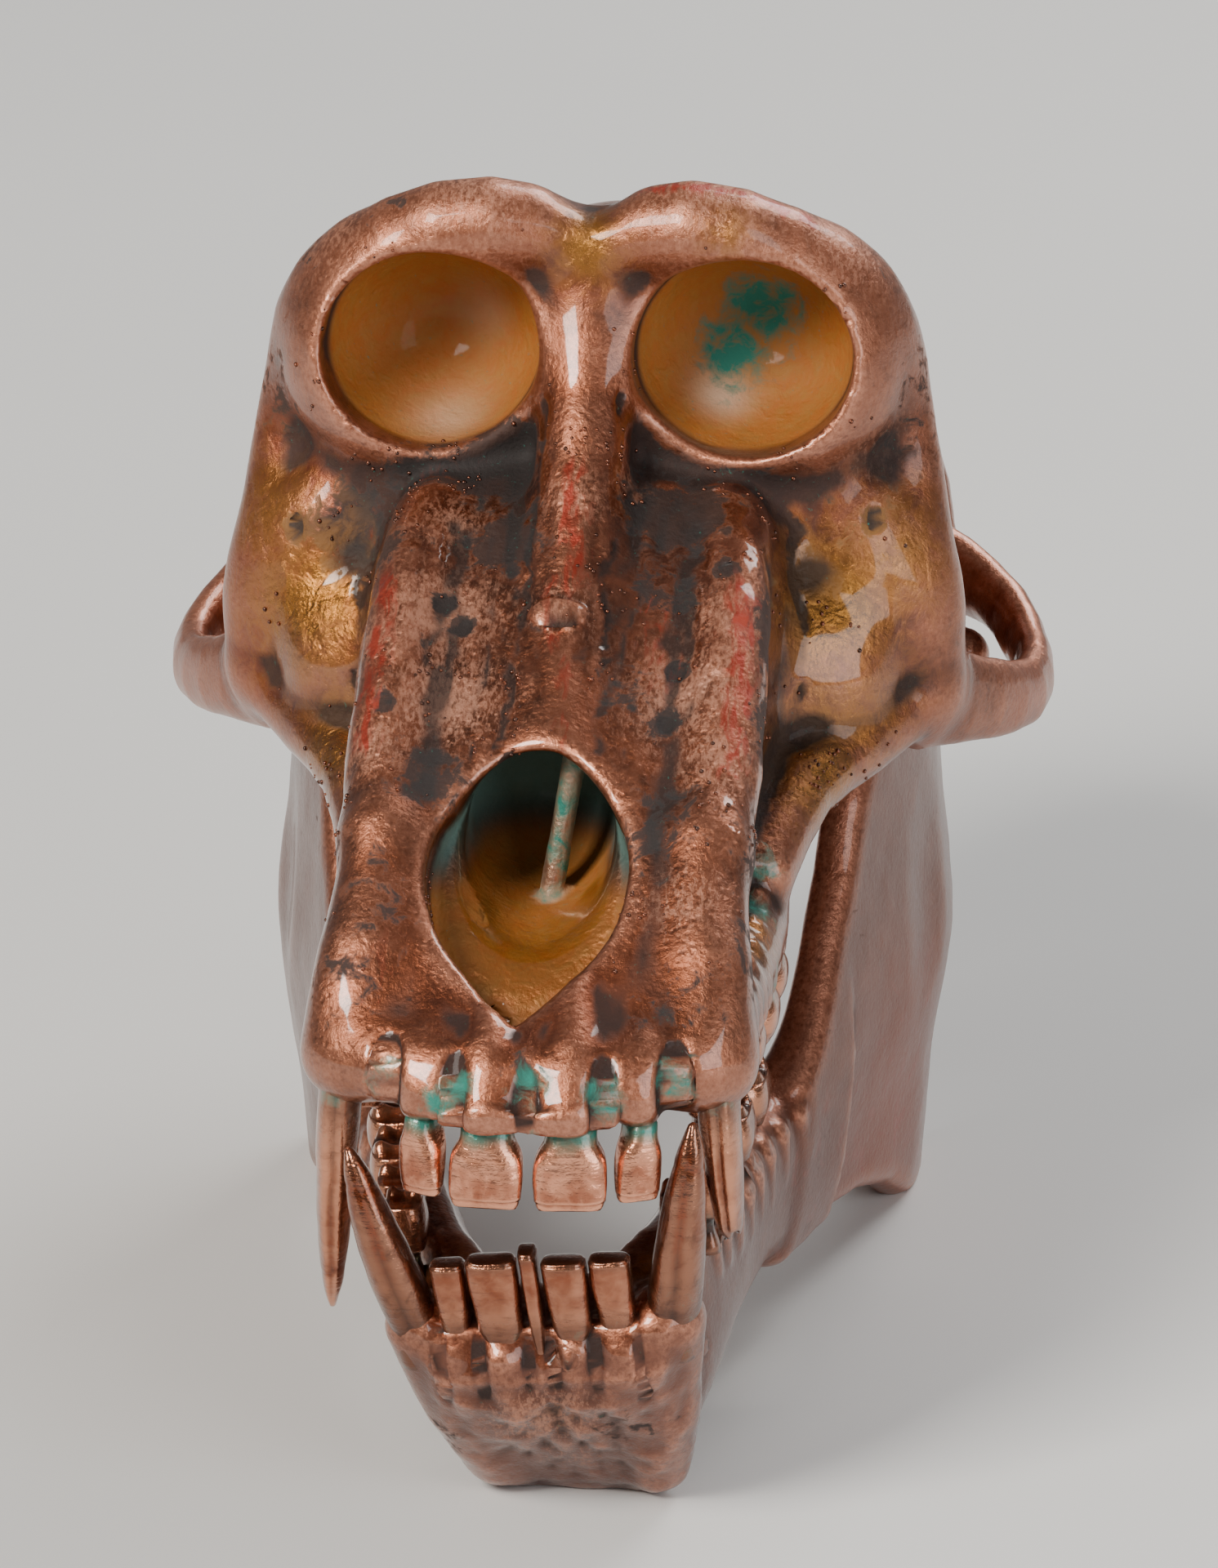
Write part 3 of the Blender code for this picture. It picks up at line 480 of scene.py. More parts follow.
SMALL_HOLES = [
    # centre, radii, pitch: slits on the cheekbones, then holes of the muzzle, a little long down its slope
    ((-36.2, -9.3, 100.0), (0.9, 2.5, 1.7), 0), ((35.6, -8.6, 103.0), (0.9, 2.5, 1.6), 0),
    ((-17.2, -39.9, 94.8), (1.1, 1.8, 1.5), -35), ((-20.5, -49.5, 91.6), (0.9, 1.5, 1.4), -35),
    ((-15.3, -34.4, 98.4), (0.9, 1.4, 1.2), -35), ((-12.0, -37.6, 97.3), (0.8, 1.2, 1.2), -35),
    ((14.2, -42.8, 93.8), (0.8, 1.2, 1.2), -35), ((13.3, -49.9, 89.9), (0.9, 1.4, 1.2), -35),
    ((18.8, -29.8, 103.6), (0.8, 1.3, 1.1), -35), ((29.2, -11.3, 86.1), (0.8, 1.5, 0.9), 0),
    ((-23.5, -36, 86), (1.4, 2.4, 1.1), 0), ((23.5, -36, 86), (1.4, 2.4, 1.1), 0),
    ((-23.6, -41, 83), (1.1, 1.8, 0.9), 0), ((23.4, -42, 82), (1.1, 1.8, 0.9), 0),
]
CHEEK_ROOT_PLACES = [-73, -69, -65.5, -62, -57.5, -52.5, -47, -41, -35, -29]
GROOVES_BETWEEN_UPPER_ROOTS = [
    # centre, radii, from the animal's right to its left
    ((-15.8, -89.2, 59.5), (1.5, 3.0, 7.5)), ((-7.6, -92.4, 59.5), (1.2, 2.7, 8)),
    ((1.0, -93.4, 61), (1.0, 2.0, 6.5)), ((9.7, -92.2, 59.5), (1.2, 2.7, 8)),
    ((17.8, -88.9, 60), (1.7, 3.2, 7.5)),
]
GROOVES_BETWEEN_LOWER_ROOTS = [
    ((-12.4, -87.6, 23.5), (0.8, 2.0, 7)), ((-7.6, -89.6, 24), (0.6, 1.7, 6)),
    ((-1.7, -90.4, 24.5), (0.5, 1.7, 5)), ((0.9, -90.4, 23.5), (0.7, 1.9, 6)),
    ((6.2, -89.8, 24), (0.7, 1.9, 6)), ((11.3, -88.2, 23.5), (0.8, 2.0, 7)),
]
CHIN_HOLE = {"centre": (2.6, -90, 24.5), "radii": (1.5, 2.6, 1.4)}
CHIN_HOLES_BESIDE = [((15.8, -70, 17), (1.5, 1.5, 1.1)), ((-15.8, -70, 17), (1.5, 1.5, 1.1))]
NOSE_WALL_GROOVE = [(-4.5, -55, 86, 1.0), (-9, -60, 72, 1.0), (-6.5, -66, 62, 1.0)]
PALATE_HOLES = [((4.5, -76, 60.5), (1.5, 4.5, 3)), ((13, -26, 61), (1.2, 2.2, 3))]

# The grain: each is a depth in millimetres, the sizes of its lumps along three axes, and its seed
COARSE_FIBRES = (0.20, (1.5, 6, 4), 3)
FINE_FIBRES = (0.14, (0.9, 2.6, 3), 4)
RIDGE_NOTCHES = (0.20, (5, 1.3, 5), 5)
SKULL_LUMPS = [(0.22, (11, 11, 11), 6), (0.07, (3.6, 3.6, 3.6), 7)]
CHIN_PITS = [(0.35, (2.2, 2.2, 4.5), 13), (0.2, (1.2, 1.2, 1.6), 14)]
JAW_LUMPS = [(0.22, (11, 11, 11), 15), (0.07, (3.4, 3.4, 3.4), 16)]
CHIN_MIDDLE, CHIN_REACH = (3, -84, 12), 16
SUTURE_DEPTH, SUTURE_WIDTH, SUTURE_WANDER = 0.42, 0.62, 1.0
TEMPLE_LINE_HEIGHT, TEMPLE_LINE_WIDTH = 0.55, 1.7


def down_the_muzzle(x, y, z):
    """The point with its Y and Z turned to run along the muzzle's slope and out of it."""
    return turned((x, y, z), (0, -45, 93), pitch=-33)


def fine_cranium(x, y, z):
    p = (x, y, z)
    s = np.abs(x)
    f = cranium(x, y, z)
    f = join(f, egg(p, **NOSE_TAB), 0.7)
    f = join(f, egg(p, **BEAD_BY_THE_NOSE), 0.6)
    for centre, radii in GROOVES_BETWEEN_UPPER_ROOTS:
        f = carve(f, egg(p, centre, radii), 1.4)
    for y0 in CHEEK_ROOT_PLACES:
        out = 24.1 + 0.02 * (y0 + 73)
        f = join(f, rod((s, y, z), (out, y0, 56.2, 1.9), (out - 1.2, y0 + 1.5, 64, 1.1)), 1.2)
    # Grain of the muzzle's back, rough ridges and gentle lumps all over
    q = down_the_muzzle(x, y, z)
    back = step_up(-y, 14, 24) * step_up(q[2], -4.5, -1.5) * step_up(22 - s, -2, 3)
    f = f + back * (grain(q, COARSE_FIBRES) + grain(q, FINE_FIBRES))
    on_ridge = step_up(1.8 - limb((s, y, z), SNOUT_RIDGE), 0, 2.2)
    f = f + on_ridge * grain((s, q[1], z), RIDGE_NOTCHES)
    f = f + sum(grain(p, layer) for layer in SKULL_LUMPS)
    # Sutures wander a little, and the temple lines stand proud
    wander = [a + grain(p, (SUTURE_WANDER, (3.2, 3.2, 3.2), seed)) for a, seed in zip(p, (8, 9, 10))]
    seam = np.minimum.reduce([near_line(wander, line) for line in SUTURES])
    f = f + SUTURE_DEPTH * np.exp(-((seam / SUTURE_WIDTH) ** 2))
    temple = near_line((s, y, z), TEMPLE_LINES)
    f = f - TEMPLE_LINE_HEIGHT * np.exp(-((temple / TEMPLE_LINE_WIDTH) ** 2))
    for centre, radii, pitch in SMALL_HOLES:
        f = carve(f, egg(p, centre, radii, pitch), 0.5)
    for centre, radii in PALATE_HOLES:
        f = carve(f, egg((s, y, z), centre, radii), 0.6)
    # A groove parts the inner nose wall from the passage
    return carve(f, limb(p, NOSE_WALL_GROOVE), 0.8)


def jaw_on_floor(x, y, z):
    """The jaw, cut off flat at the floor that it stands on."""
    return np.maximum(jaw(x, y, z), -z)


def fine_jaw(x, y, z):
    f = jaw(x, y, z)
    x, y, z = straightened(x, y, z)
    p, s = (x, y, z), np.abs(x)
    for centre, radii in GROOVES_BETWEEN_LOWER_ROOTS:
        f = carve(f, egg(p, centre, radii), 0.7)
    for y0 in CHEEK_ROOT_PLACES[2:]:
        out = curve(y0, BODY_MIDDLE_X) + 5.0
        f = join(f, rod((s, y, z), (out, y0, 31.5, 1.4), (out - 0.5, y0 + 1, 25, 0.9)), 1.2)
    f = f + near_spot(p, CHIN_MIDDLE, CHIN_REACH) * sum(grain(p, layer) for layer in CHIN_PITS)
    f = f + sum(grain(p, layer) for layer in JAW_LUMPS)
    f = carve(f, egg(p, **CHIN_HOLE), 0.6)
    for centre, radii in CHIN_HOLES_BESIDE:
        f = carve(f, egg(p, centre, radii), 0.6)
    return np.maximum(f, -z)


def bone_mesh(name, coarse, fine, low, high, voxel, keep_share):
    """A fine mesh of a bone: a coarse one, made even, and settled on the field that has the detail."""
    points, faces = surface(coarse, low, high, GRID)
    mesh = bpy.data.meshes.new(name)
    mesh.from_pydata(settled(coarse, points).tolist(), [], faces.tolist())
    obj = bpy.data.objects.new(name, mesh)
    bpy.context.scene.collection.objects.link(obj)
    even = obj.modifiers.new("even faces", "REMESH")
    even.mode = "VOXEL"
    even.voxel_size = voxel
    finer = baked(obj)
    points = settled(fine, points_of(finer), rounds=2, most=0.9)
    finer.vertices.foreach_set("co", points.astype(np.float32).ravel())
    finer.update()
    obj.modifiers.clear()
    swap_mesh(obj, finer)
    if keep_share < 1:
        fewer = obj.modifiers.new("fewer faces", "DECIMATE")
        fewer.ratio = keep_share
        finer = baked(obj)
        obj.modifiers.clear()
        swap_mesh(obj, finer)
    return obj


def baked(obj):
    """The object's mesh as its modifiers leave it."""
    graph = bpy.context.evaluated_depsgraph_get()
    return bpy.data.meshes.new_from_object(obj.evaluated_get(graph))


def swap_mesh(obj, mesh):
    old = obj.data
    obj.data = mesh
    bpy.data.meshes.remove(old)


def points_of(mesh):
    points = np.empty(len(mesh.vertices) * 3, np.float32)
    mesh.vertices.foreach_get("co", points)
    return points.reshape(-1, 3).astype(float)


def normals_of(mesh):
    normals = np.empty(len(mesh.vertices) * 3, np.float32)
    mesh.vertex_normals.foreach_get("vector", normals)
    return normals.reshape(-1, 3).astype(float)


# Masks on the points, from 0 to 1, that the copper reads
def hollowness(field, p, normals, reach):
    """How much other bone crowds in on a point: 0 on a flat or a swell, 1 in a deep hollow."""
    out = p + normals * reach
    return np.clip(1 - field(*out.T) / reach, 0, 1)


def swell(mesh, rounds, size):
    """How far each point stands out of its smoothed surroundings, as a share of the size."""
    points, normals = points_of(mesh), normals_of(mesh)
    ends = np.empty(len(mesh.edges) * 2, np.int32)
    mesh.edges.foreach_get("vertices", ends)
    a, b = ends[0::2], ends[1::2]
    count = np.bincount(ends, minlength=len(points))[:, None]
    smooth = points
    for _ in range(rounds):
        total = np.stack([np.bincount(a, smooth[b, k], len(points)) for k in range(3)], 1)
        total += np.stack([np.bincount(b, smooth[a, k], len(points)) for k in range(3)], 1)
        smooth = total / count
    return ((points - smooth) * normals).sum(1) / size


def shape_masks(mesh, field, reach, crease, edge):
    """The masks that follow the shape alone. Crease and edge are the (rounds, size) of their smoothing."""
    return {
        "hollow": hollowness(field, points_of(mesh), normals_of(mesh), reach),
        "crease": -swell(mesh, *crease),
        "edge": swell(mesh, *edge),
    }


def mark(mesh, **masks):
    for name, values in masks.items():
        layer = mesh.attributes.new(name, "FLOAT", "POINT")
        layer.data.foreach_set("value", np.clip(values, 0, 1).astype(np.float32))


RED_LINES = [
    # (points, width, strength): the brow's crest, the nose's ridge and its tab, the ridges of the muzzle
    ([(7, -4, 143.3), (12.5, -5, 144), (20, -5, 142.6), (27, -4, 139.3)], 1.5, 1.0),
    ([(-0.4, -22, 112), (0, -29, 106.9), (1, -33.4, 103.3)], 1.7, 1.0),
    ([(-1, -34, 102), (-0.8, -42, 97)], 1.8, 0.8),
    ([(0.7, -44, 95.5), (1.3, -54, 89)], 1.3, 0.6),
    ([(-22.2, -33, 101), (-22.5, -44, 95), (-22, -54, 88)], 2.0, 1.0),
    ([(21.2, -33, 101), (21.6, -45, 94), (21, -56, 86)], 2.2, 1.0),
    ([(10.6, -34, 99.5), (13, -44, 93)], 2.4, 0.5),
    ([(-12.9, -10, 110), (-20, -12, 108)], 1.6, 0.6),
    ([(-17, -70, 76), (-18, -82, 66)], 1.5, 0.4),
]
AMBER_AND_GLINT_SPOTS = [
    # (place, reach, strength): the cheeks and the muzzle's flanks; the spots at (0, -6, 136) and (17, -8,
    # 139) are painted glints on the brows
    ((-33, -10, 90), 10, 1.0), ((-38, -4, 100), 8, 0.7), ((29, -12, 93), 9, 1.0), ((36, -6, 97), 8, 0.8),
    ((29, -11, 80), 9, 1.0), ((31, -24, 75), 8, 0.8), ((-30, -22, 77), 8, 0.8), ((24.5, -50, 66), 8, 0.7),
    ((0, -6, 136), 4.5, 1.0), ((-19, -80, 57), 5, 0.35), ((-24.5, -46, 70), 7, 0.5), ((17, -8, 139), 3, 0.8),
]
GREEN_SPOTS = [
    ((24.8, -37.6, 68), 2.4, 0.8), ((24.3, -42, 64), 3.0, 0.9), ((25.4, -48, 57), 3.0, 0.9),
    ((-9.6, -92.6, 58), 1.9, 1.0), ((-8.4, -92.3, 54.5), 1.7, 1.0), ((1.1, -94, 58.5), 1.6, 0.9),
    ((1.1, -93.6, 54.6), 1.5, 1.0), ((10.6, -93, 58), 1.6, 0.7), ((18.5, -86.5, 58.5), 2.6, 0.55),
    ((20.4, -60, 79), 1.6, 0.5), ((-24, -74, 63), 2.4, 0.4),
]
EYE_GREEN = [((20.5, 7.8, 125), 6, 1.0), ((17, 7, 119.5), 5.5, 1.0)]
# Painted highlights on the sheets in the eye sockets, laid in a pale colour
EYE_HIGHLIGHTS = [((15.5, 3, 115), 3.5, 1.0), ((-18, -1.5, 112), 5, 0.5), ((-14, 6.8, 124), 3.5, 0.35)]
ETCHED_SPOTS = [
    # (place, reach, strength): the dull pink fibrous places beside the nose's ridge, and its tab
    ((-15, -36, 98), 8, 1.0), ((-13, -48, 92), 7, 1.0), ((-22.5, -40, 97), 5, 0.9), ((-22, -54, 88), 6, 0.7),
    ((-16, -22, 104), 6, 0.8), ((16, -46, 93), 8, 0.9), ((20, -36, 99), 6, 0.8), ((20, -54, 87), 6, 0.8),
    ((-0.5, -37, 99), 4, 0.8), ((0, -24, 109), 4, 0.8), ((6, -18, 109), 4, 0.7), ((17, -72, 76), 5, 0.6),
    ((-14, -3, 142), 9, 0.7), ((14, -3, 143), 9, 0.7), ((30, 0, 136), 8, 0.6), ((-30, 0, 135), 8, 0.6),
    ((34, -4, 112), 8, 0.35),
]
DARK_SPOTS = [
    ((-10, -13, 110), 7, 0.95), ((-19, -10, 107), 6, 0.7), ((-8, -26, 104), 6, 0.8), ((12, -20, 106), 8, 0.8),
    ((12, -32, 100), 6, 0.5), ((8, -46, 93), 5, 0.45), ((-22, -26, 103), 5, 0.6), ((25.5, -24, 98), 5, 0.9),
    ((25.5, -34, 95), 7, 0.9), ((25.5, -46, 86), 7, 0.9), ((-14, -58, 85), 5, 0.7), ((14, -64, 82), 7, 0.45),
    ((24, -60, 75), 7, 0.8), ((-20, -78, 66), 8, 0.45), ((18, -80, 64), 8, 0.4), ((-27, -38, 90), 6, 0.6),
    ((33, -6, 101), 8, 0.4), ((-29, -10, 100), 6, 0.75), ((-18, -72, 76), 7, 0.35), ((23, -72, 68), 7, 0.6),
    ((36, -4, 82), 6, 0.5), ((-25, -60, 76), 7, 0.6), ((0, -92, 63), 3, 0.5), ((33, 0, 131), 5, 0.45),
    ((-33, 0, 131), 6, 0.45), ((-24, -5, 141), 5, 0.4), ((38, 0, 115), 8, 0.4), ((-38, 0, 115), 8, 0.45),
]


RUST_SPOTS = [
    ((-36, -4, 92), 14, 0.9), ((21, -7, 105), 6, 0.6), ((0, -80, 68), 13, 0.55), ((-34, 0, 106), 9, 0.6),
]


JAW_SPOTS = {
    # The first red spot lies on the ramus's low outer face: reddish rust there, with a painted orange glow of
    # reflected light
    "red": [((38, 10, 14), 22, 0.25), ((26, -24, 22), 14, 0.15)],
    "amber": [((-14, -80, 33), 6, 0.5), ((17, -78, 33), 6, 0.5)],
    "green": [((-20, -74, 34), 3, 0.5), ((10, -88, 16), 2, 0.4)],
}
JAW_DARK_SPOTS = [((12, -84, 14), 6, 0.35), ((-9, -80, 12), 6, 0.3)]
# Rust on the ramus, with a painted orange glow of reflected light there
JAW_RUST_AND_GLOW_SPOTS = [((38, 8, 16), 22, 0.75)]
JAW_ETCHED_SPOTS = [((2.5, -88, 14), 6.5, 0.9), ((5, -84, 5), 5, 0.8)]


def each_spot(p, places):
    return [strength * near_spot(p, place, reach) for place, reach, strength in places]


def spots(p, places):
    """The strongest of several spots at each point."""
    return np.maximum.reduce(each_spot(p, places))


def total(p, places):
    """The sum of several spots at each point."""
    return sum(each_spot(p, places))


def mark_cranium(mesh):
    p = tuple(points_of(mesh).T)
    x, y, z = p
    s = np.abs(x)
    cup = eye_socket((s, y, z))
    rim = curve(z, [(109.5, -10.5), (123.5, -6), (136.5, -2.5)])
    in_cup = step_up(1.6 - np.abs(cup), 0, 0.8) * step_up(y - rim, 0.5, 3.5)
    nose = nose_opening((x - NOSE_OPENING_X, y, z))
    in_nose = step_up(1.8 - np.abs(nose), 0, 0.8) * step_up(y - curve(z, [(62, -78), (86, -53)]), 0, 3)
    strut = step_up(0.8 - rod(p, *NOSE_STRUT), 0, 0.6)
    red = [strength * np.exp(-((near_line(p, line) / width) ** 2)) for line, width, strength in RED_LINES]
    mark(
        mesh,
        **shape_masks(mesh, cranium, 7, (8, 0.16), (10, 0.42)),
        cup=np.maximum(in_cup, in_nose * (1 - step_up(z, 71, 76)) * 0.9),
        red=np.maximum.reduce(red),
        amber=spots(p, AMBER_AND_GLINT_SPOTS),
        green=np.maximum.reduce([
            spots(p, GREEN_SPOTS), in_cup * spots(p, EYE_GREEN), 0.6 * strut,
            *[0.95 * near_spot(p, centre, 2.6) for centre, _ in GROOVES_BETWEEN_UPPER_ROOTS],
        ]),
        # dark: the listed dark spots, and painted shade in the nose wall's groove and around the small holes
        dark=np.maximum.reduce([
            spots(p, DARK_SPOTS), step_up(1.2 - limb(p, NOSE_WALL_GROOVE), 0, 1),
            *[near_spot(p, centre, 1.9) for centre, _, _ in SMALL_HOLES],
        ]),
        sooty=in_nose * step_up(z, 72, 79),
        # pale: painted highlights in the eye sockets, and the strut's own pale colour
        pale=np.maximum(in_cup * spots(p, EYE_HIGHLIGHTS), 0.6 * strut),
        smooth=step_up(y, -14, -8) * (1 - in_cup),
        rust=spots(p, RUST_SPOTS) + 0.5 * step_up(y, 4, 14),
        etched=spots(p, ETCHED_SPOTS),
        beaded=(step_up(-y, 6, 14) * step_up(z, 66, 72) * (1 - in_cup) * (1 - in_nose)
                * step_up(lumps(p, (5, 5, 5), 31), 0, 0.7)),
    )


def mark_jaw(mesh):
    p = tuple(points_of(mesh).T)
    y = p[1]
    mark(
        mesh,
        **shape_masks(mesh, jaw, 6, (8, 0.26), (10, 0.40)),
        **{name: total(p, places) for name, places in JAW_SPOTS.items()},
        dark=0.06 * step_up(y, -70, -52) + total(p, JAW_DARK_SPOTS),
        smooth=step_up(y, -60, -45),
        rust=0.25 + total(p, JAW_RUST_AND_GLOW_SPOTS),
        etched=spots(p, JAW_ETCHED_SPOTS),
    )


# Teeth. Each is a stack of rings round an axis, from its root's end, through the gum, to its crown.
# Each rim's (height, width, depth): the height is in millimetres below the gum and a share of the crown above
# it, and the others are shares of the tooth's half sizes
UPPER_INCISOR_RIM = [
    (-5, 0.45, 0.6), (0, 0.72, 1.0), (0.16, 0.76, 1.06), (0.32, 0.96, 1.0), (0.6, 1.04, 0.84),
    (0.86, 1.0, 0.62),
]
LOWER_INCISOR_RIM = [(-5, 0.5, 0.6), (0, 0.90, 1.0), (0.3, 0.96, 1.02), (0.6, 1.04, 1.0), (0.93, 1.04, 0.92)]
CHEEK_RIM = [(-5, 0.6, 0.62), (0, 0.80, 0.82), (0.35, 1.0, 1.0), (0.7, 0.99, 0.94), (0.8, 0.95, 0.88)]
RIM_SIDES = 60
RINGS_UP = 22
RINGS_ACROSS = 12


def cusps(u, v, ridges):
    """A crown's height at (u, v), from 0 to 1: an edge along the row, or ridges across it with points."""
    if not ridges:
        return 0.9 - 0.5 * v**2 - 0.25 * np.abs(u) ** 4
    crests = (0,) if ridges == 1 else (-0.5, 0.5)
    crest = sum(np.exp(-(((u - at) / 0.25) ** 2)) for at in crests)
    places = [(at, side) for at in crests for side in (-0.58, 0.58)]
    points = sum(np.exp(-(((u - at) / 0.26) ** 2) - ((v - side) / 0.34) ** 2) for at, side in places)
    return 0.10 + 0.42 * crest + 0.55 * points - 0.25 * np.maximum(np.abs(u), np.abs(v)) ** 6


def ringed(rows, apex):
    """A closed mesh of rings of points, bottom first, with a fan at each end."""
    count = len(rows[0])
    points = np.concatenate([*rows, [rows[0].mean(0)], [apex]])
    faces = []
    for r in range(len(rows) - 1):
        for i in range(count):
            j = (i + 1) % count
            faces.append((r * count + i, r * count + j, (r + 1) * count + j, (r + 1) * count + i))
    base, end, last = len(rows) * count, len(rows) * count + 1, (len(rows) - 1) * count
    for i in range(count):
        j = (i + 1) % count
        faces.append((base, j, i))
        faces.append((end, last + i, last + j))
    return points, faces


def crown_tooth(centre, gum_z, up, half, turn, lean, height, boxy, rim, ridges):
    """An incisor or cheek tooth, whose crown's top follows its cusps."""
    angles = np.linspace(0, 2 * np.pi, RIM_SIDES, endpoint=False)
    cu, cv = np.cos(angles), np.sin(angles)
    u, v = (np.sign(c) * np.abs(c) ** (2 / boxy) for c in (cu, cv))
    c, s = np.cos(np.radians(turn)), np.sin(np.radians(turn))
    wide, deep = [(t, w) for t, w, _ in rim], [(t, d) for t, _, d in rim]
    top = rim[-1][0]

    def ring(share, shrink, cusp):
        t = np.full_like(u, share)
        a, b = u * half[0] * curve(t, wide) * shrink, v * half[1] * curve(t, deep) * shrink
        rise = np.where(t > 0, t * height, t) + cusp * (1 - top) * height
        out = np.maximum(rise, 0) / height * lean
        return np.stack([centre[0] + c * a - s * b, centre[1] + s * a + c * b - out, gum_z + up * rise], 1)

    rows = [ring(rim[0][0] * (1 - k / 8) ** 1.5, 1, 0) for k in range(8)]
    rows += [ring(top * k / RINGS_UP, 1, 0) for k in range(RINGS_UP + 1)]
    for k in range(1, RINGS_ACROSS):
        shrink = np.cos(0.5 * np.pi * k / RINGS_ACROSS)
        rows.append(ring(top, shrink, cusps(u * shrink, v * shrink, ridges) * step_up(1 - shrink, 0, 0.12)))
    apex = ring(top, 0.0, cusps(0 * u, 0 * v, ridges))[0]
    return ringed(rows, apex)


def canine_tooth(gum, tip, half, broken):
    """A tapered, slightly bowed tooth with a groove down its front, to its point or to a broken end."""
    gum, tip = np.array(gum, float), np.array(tip, float)
    up = 1 if tip[2] > gum[2] else -1
    angles = np.linspace(0, 2 * np.pi, RIM_SIDES, endpoint=False)
    size = [(-5, 0.7), (0, 1.0), (0.25, 1.0), (0.5, 0.88), (0.75, 0.64), (0.93, 0.34), (0.985, 0.16)]
    if broken:
        size = [(t, 1 + (w - 1) * BROKEN_SHARE) for t, w in size]
    shares = [*np.linspace(-5, -0.1, 8), *np.linspace(0, 0.985, 46)]
    rows = []
    for share in shares:
        width = curve(np.array([share]), size)[0]
        bow = 4 * share * (1 - share) * 1.6 if share > 0 else 0
        middle = gum + (tip - gum) * max(share, 0) - (0, bow, 0)
        middle[2] += up * min(share, 0)
        groove = 1 - 0.13 * np.exp(-(((angles - 1.5 * np.pi) / 0.32) ** 2))
        crack = 1 - 0.05 * np.exp(-(((share - 0.8 - 0.02 * np.sin(2 * angles)) / 0.012) ** 2)) * (not broken)
        r = width * groove * crack
        ring = np.stack([half[0] * r * np.cos(angles), half[1] * r * np.sin(angles), 0 * angles], 1)
        if broken and share > 0.9:
            ring[:, 2] += (share - 0.9) / 0.1 * (1.2 * np.cos(angles + 0.7) + 0.5 * np.sin(5 * angles))
        rows.append(middle + ring)
    return ringed(rows, rows[-1].mean(0) + ((0, 0, 0.8) if broken else (tip - gum) * 0.012))


# Pieces
def in_part(points):
    """Points of the design, in the part's own frame and in metres."""
    return (np.asarray(points) - (0, NOTCH_TO_MIDDLE, 0)) * MM


def place_piece(obj, node, material):
    """Takes a piece made in the design's millimetres into the part, hangs it on the body and hides the CAD
    part of its node.
    """
    mesh = obj.data
    mesh.vertices.foreach_set("co", in_part(points_of(mesh)).astype(np.float32).ravel())
    mesh.materials.clear()
    mesh.materials.append(material)
    mesh.shade_smooth()
    mesh.update()
    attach(obj, BODY)
    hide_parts(node)


def finish_named(name, make):
    return bpy.data.materials.get(name) or make(name)


def tooth_piece(node, points, faces, place, gum_z, height, **looks):
    """A tooth's own object, marked with how far up its crown each point is and with the tooth's own look."""
    up = (points[:, 2] - gum_z) / height
    points = points + 0.10 * np.stack([lumps(points.T, (2.6, 2.6, 2.6), seed) for seed in (21, 22, 23)], 1)
    mesh = bpy.data.meshes.new("plated_" + node)
    mesh.from_pydata(np.stack(place(*points.T), 1).tolist(), [], faces)
    shape = bmesh.new()
    shape.from_mesh(mesh)
    bmesh.ops.recalc_face_normals(shape, faces=shape.faces)
    shape.to_mesh(mesh)
    shape.free()
    mark(mesh, crown=up, edge=swell(mesh, 10, 0.25), crease=-swell(mesh, 6, 0.12),
         **{name: value + 0 * up for name, value in looks.items()})
    obj = bpy.data.objects.new("plated_" + node, mesh)
    bpy.context.scene.collection.objects.link(obj)
    place_piece(obj, node, finish_named("tooth_plating", tooth_plating))


def straight(x, y, z):
    return x, y, z


GUM_Z = 54.6
JAW_GUM_Z = 33.6
JAW_FRONT_GUM_Z = 27.8
INCISOR_LEAN = 2.6
BROKEN_SHARE = 0.6
UPPER_INCISORS = [
    # name, x, y, degrees that the row turns there, half sizes, height
    ("central", 4.9, -90.4, 5, (4.2, 2.6), 9.6),
    ("lateral", 12.6, -88.0, 24, (2.6, 2.5), 9.0),
]
LOWER_INCISORS = [
    # name, x, half width, height
    ("lower_left_lateral_incisor", 8.95, 2.35, 9.6),
    ("lower_left_central_incisor", 3.65, 2.5, 9.8),
    ("lower_middle_peg_tooth", -0.35, 1.0, 11.4),
    ("lower_right_central_incisor", -4.75, 2.9, 10.2),
    ("lower_right_lateral_incisor", -10.1, 1.95, 9.4),
]
CHEEK_TEETH = [
    # name, ridges across the crown, then for the upper and the lower tooth its (x, y), half sizes and height
    ("first_premolar", 1, ((20.9, -71.0), (3.1, 3.3), 6.6), ((16.4, -75.2), (3.7, 2.5), 7.4)),
    ("second_premolar", 1, ((21.2, -63.8), (3.2, 3.8), 6.6), ((17.9, -67.3), (3.4, 2.9), 7.0)),
    ("first_molar", 2, ((21.6, -55.0), (4.7, 4.3), 6.4), ((18.9, -58.4), (4.7, 3.4), 7.0)),
    ("second_molar", 2, ((22.0, -44.0), (5.6, 4.8), 6.6), ((19.8, -47.4), (5.6, 3.9), 7.2)),
    ("third_molar", 2, ((22.0, -32.0), (5.6, 4.9), 6.6), ((21.0, -34.6), (6.4, 4.0), 7.2)),
]
UPPER_CANINE = {
    "gum": (22.2, -80.4, 56), "half": (2.5, 4.5), "left": (23.6, -77.6, 36), "right": (24.2, -75.5, 24),
}
LOWER_CANINE = {
    "gum": (15.2, -84.6, 27.5), "half": (3.2, 3.8), "left": (20.6, -88, 53.4), "right": (20, -88, 51.6),
}
SIDES = (("left", 1), ("right", -1))


def mirrored(point, sign):
    return sign * point[0], point[1], point[2]


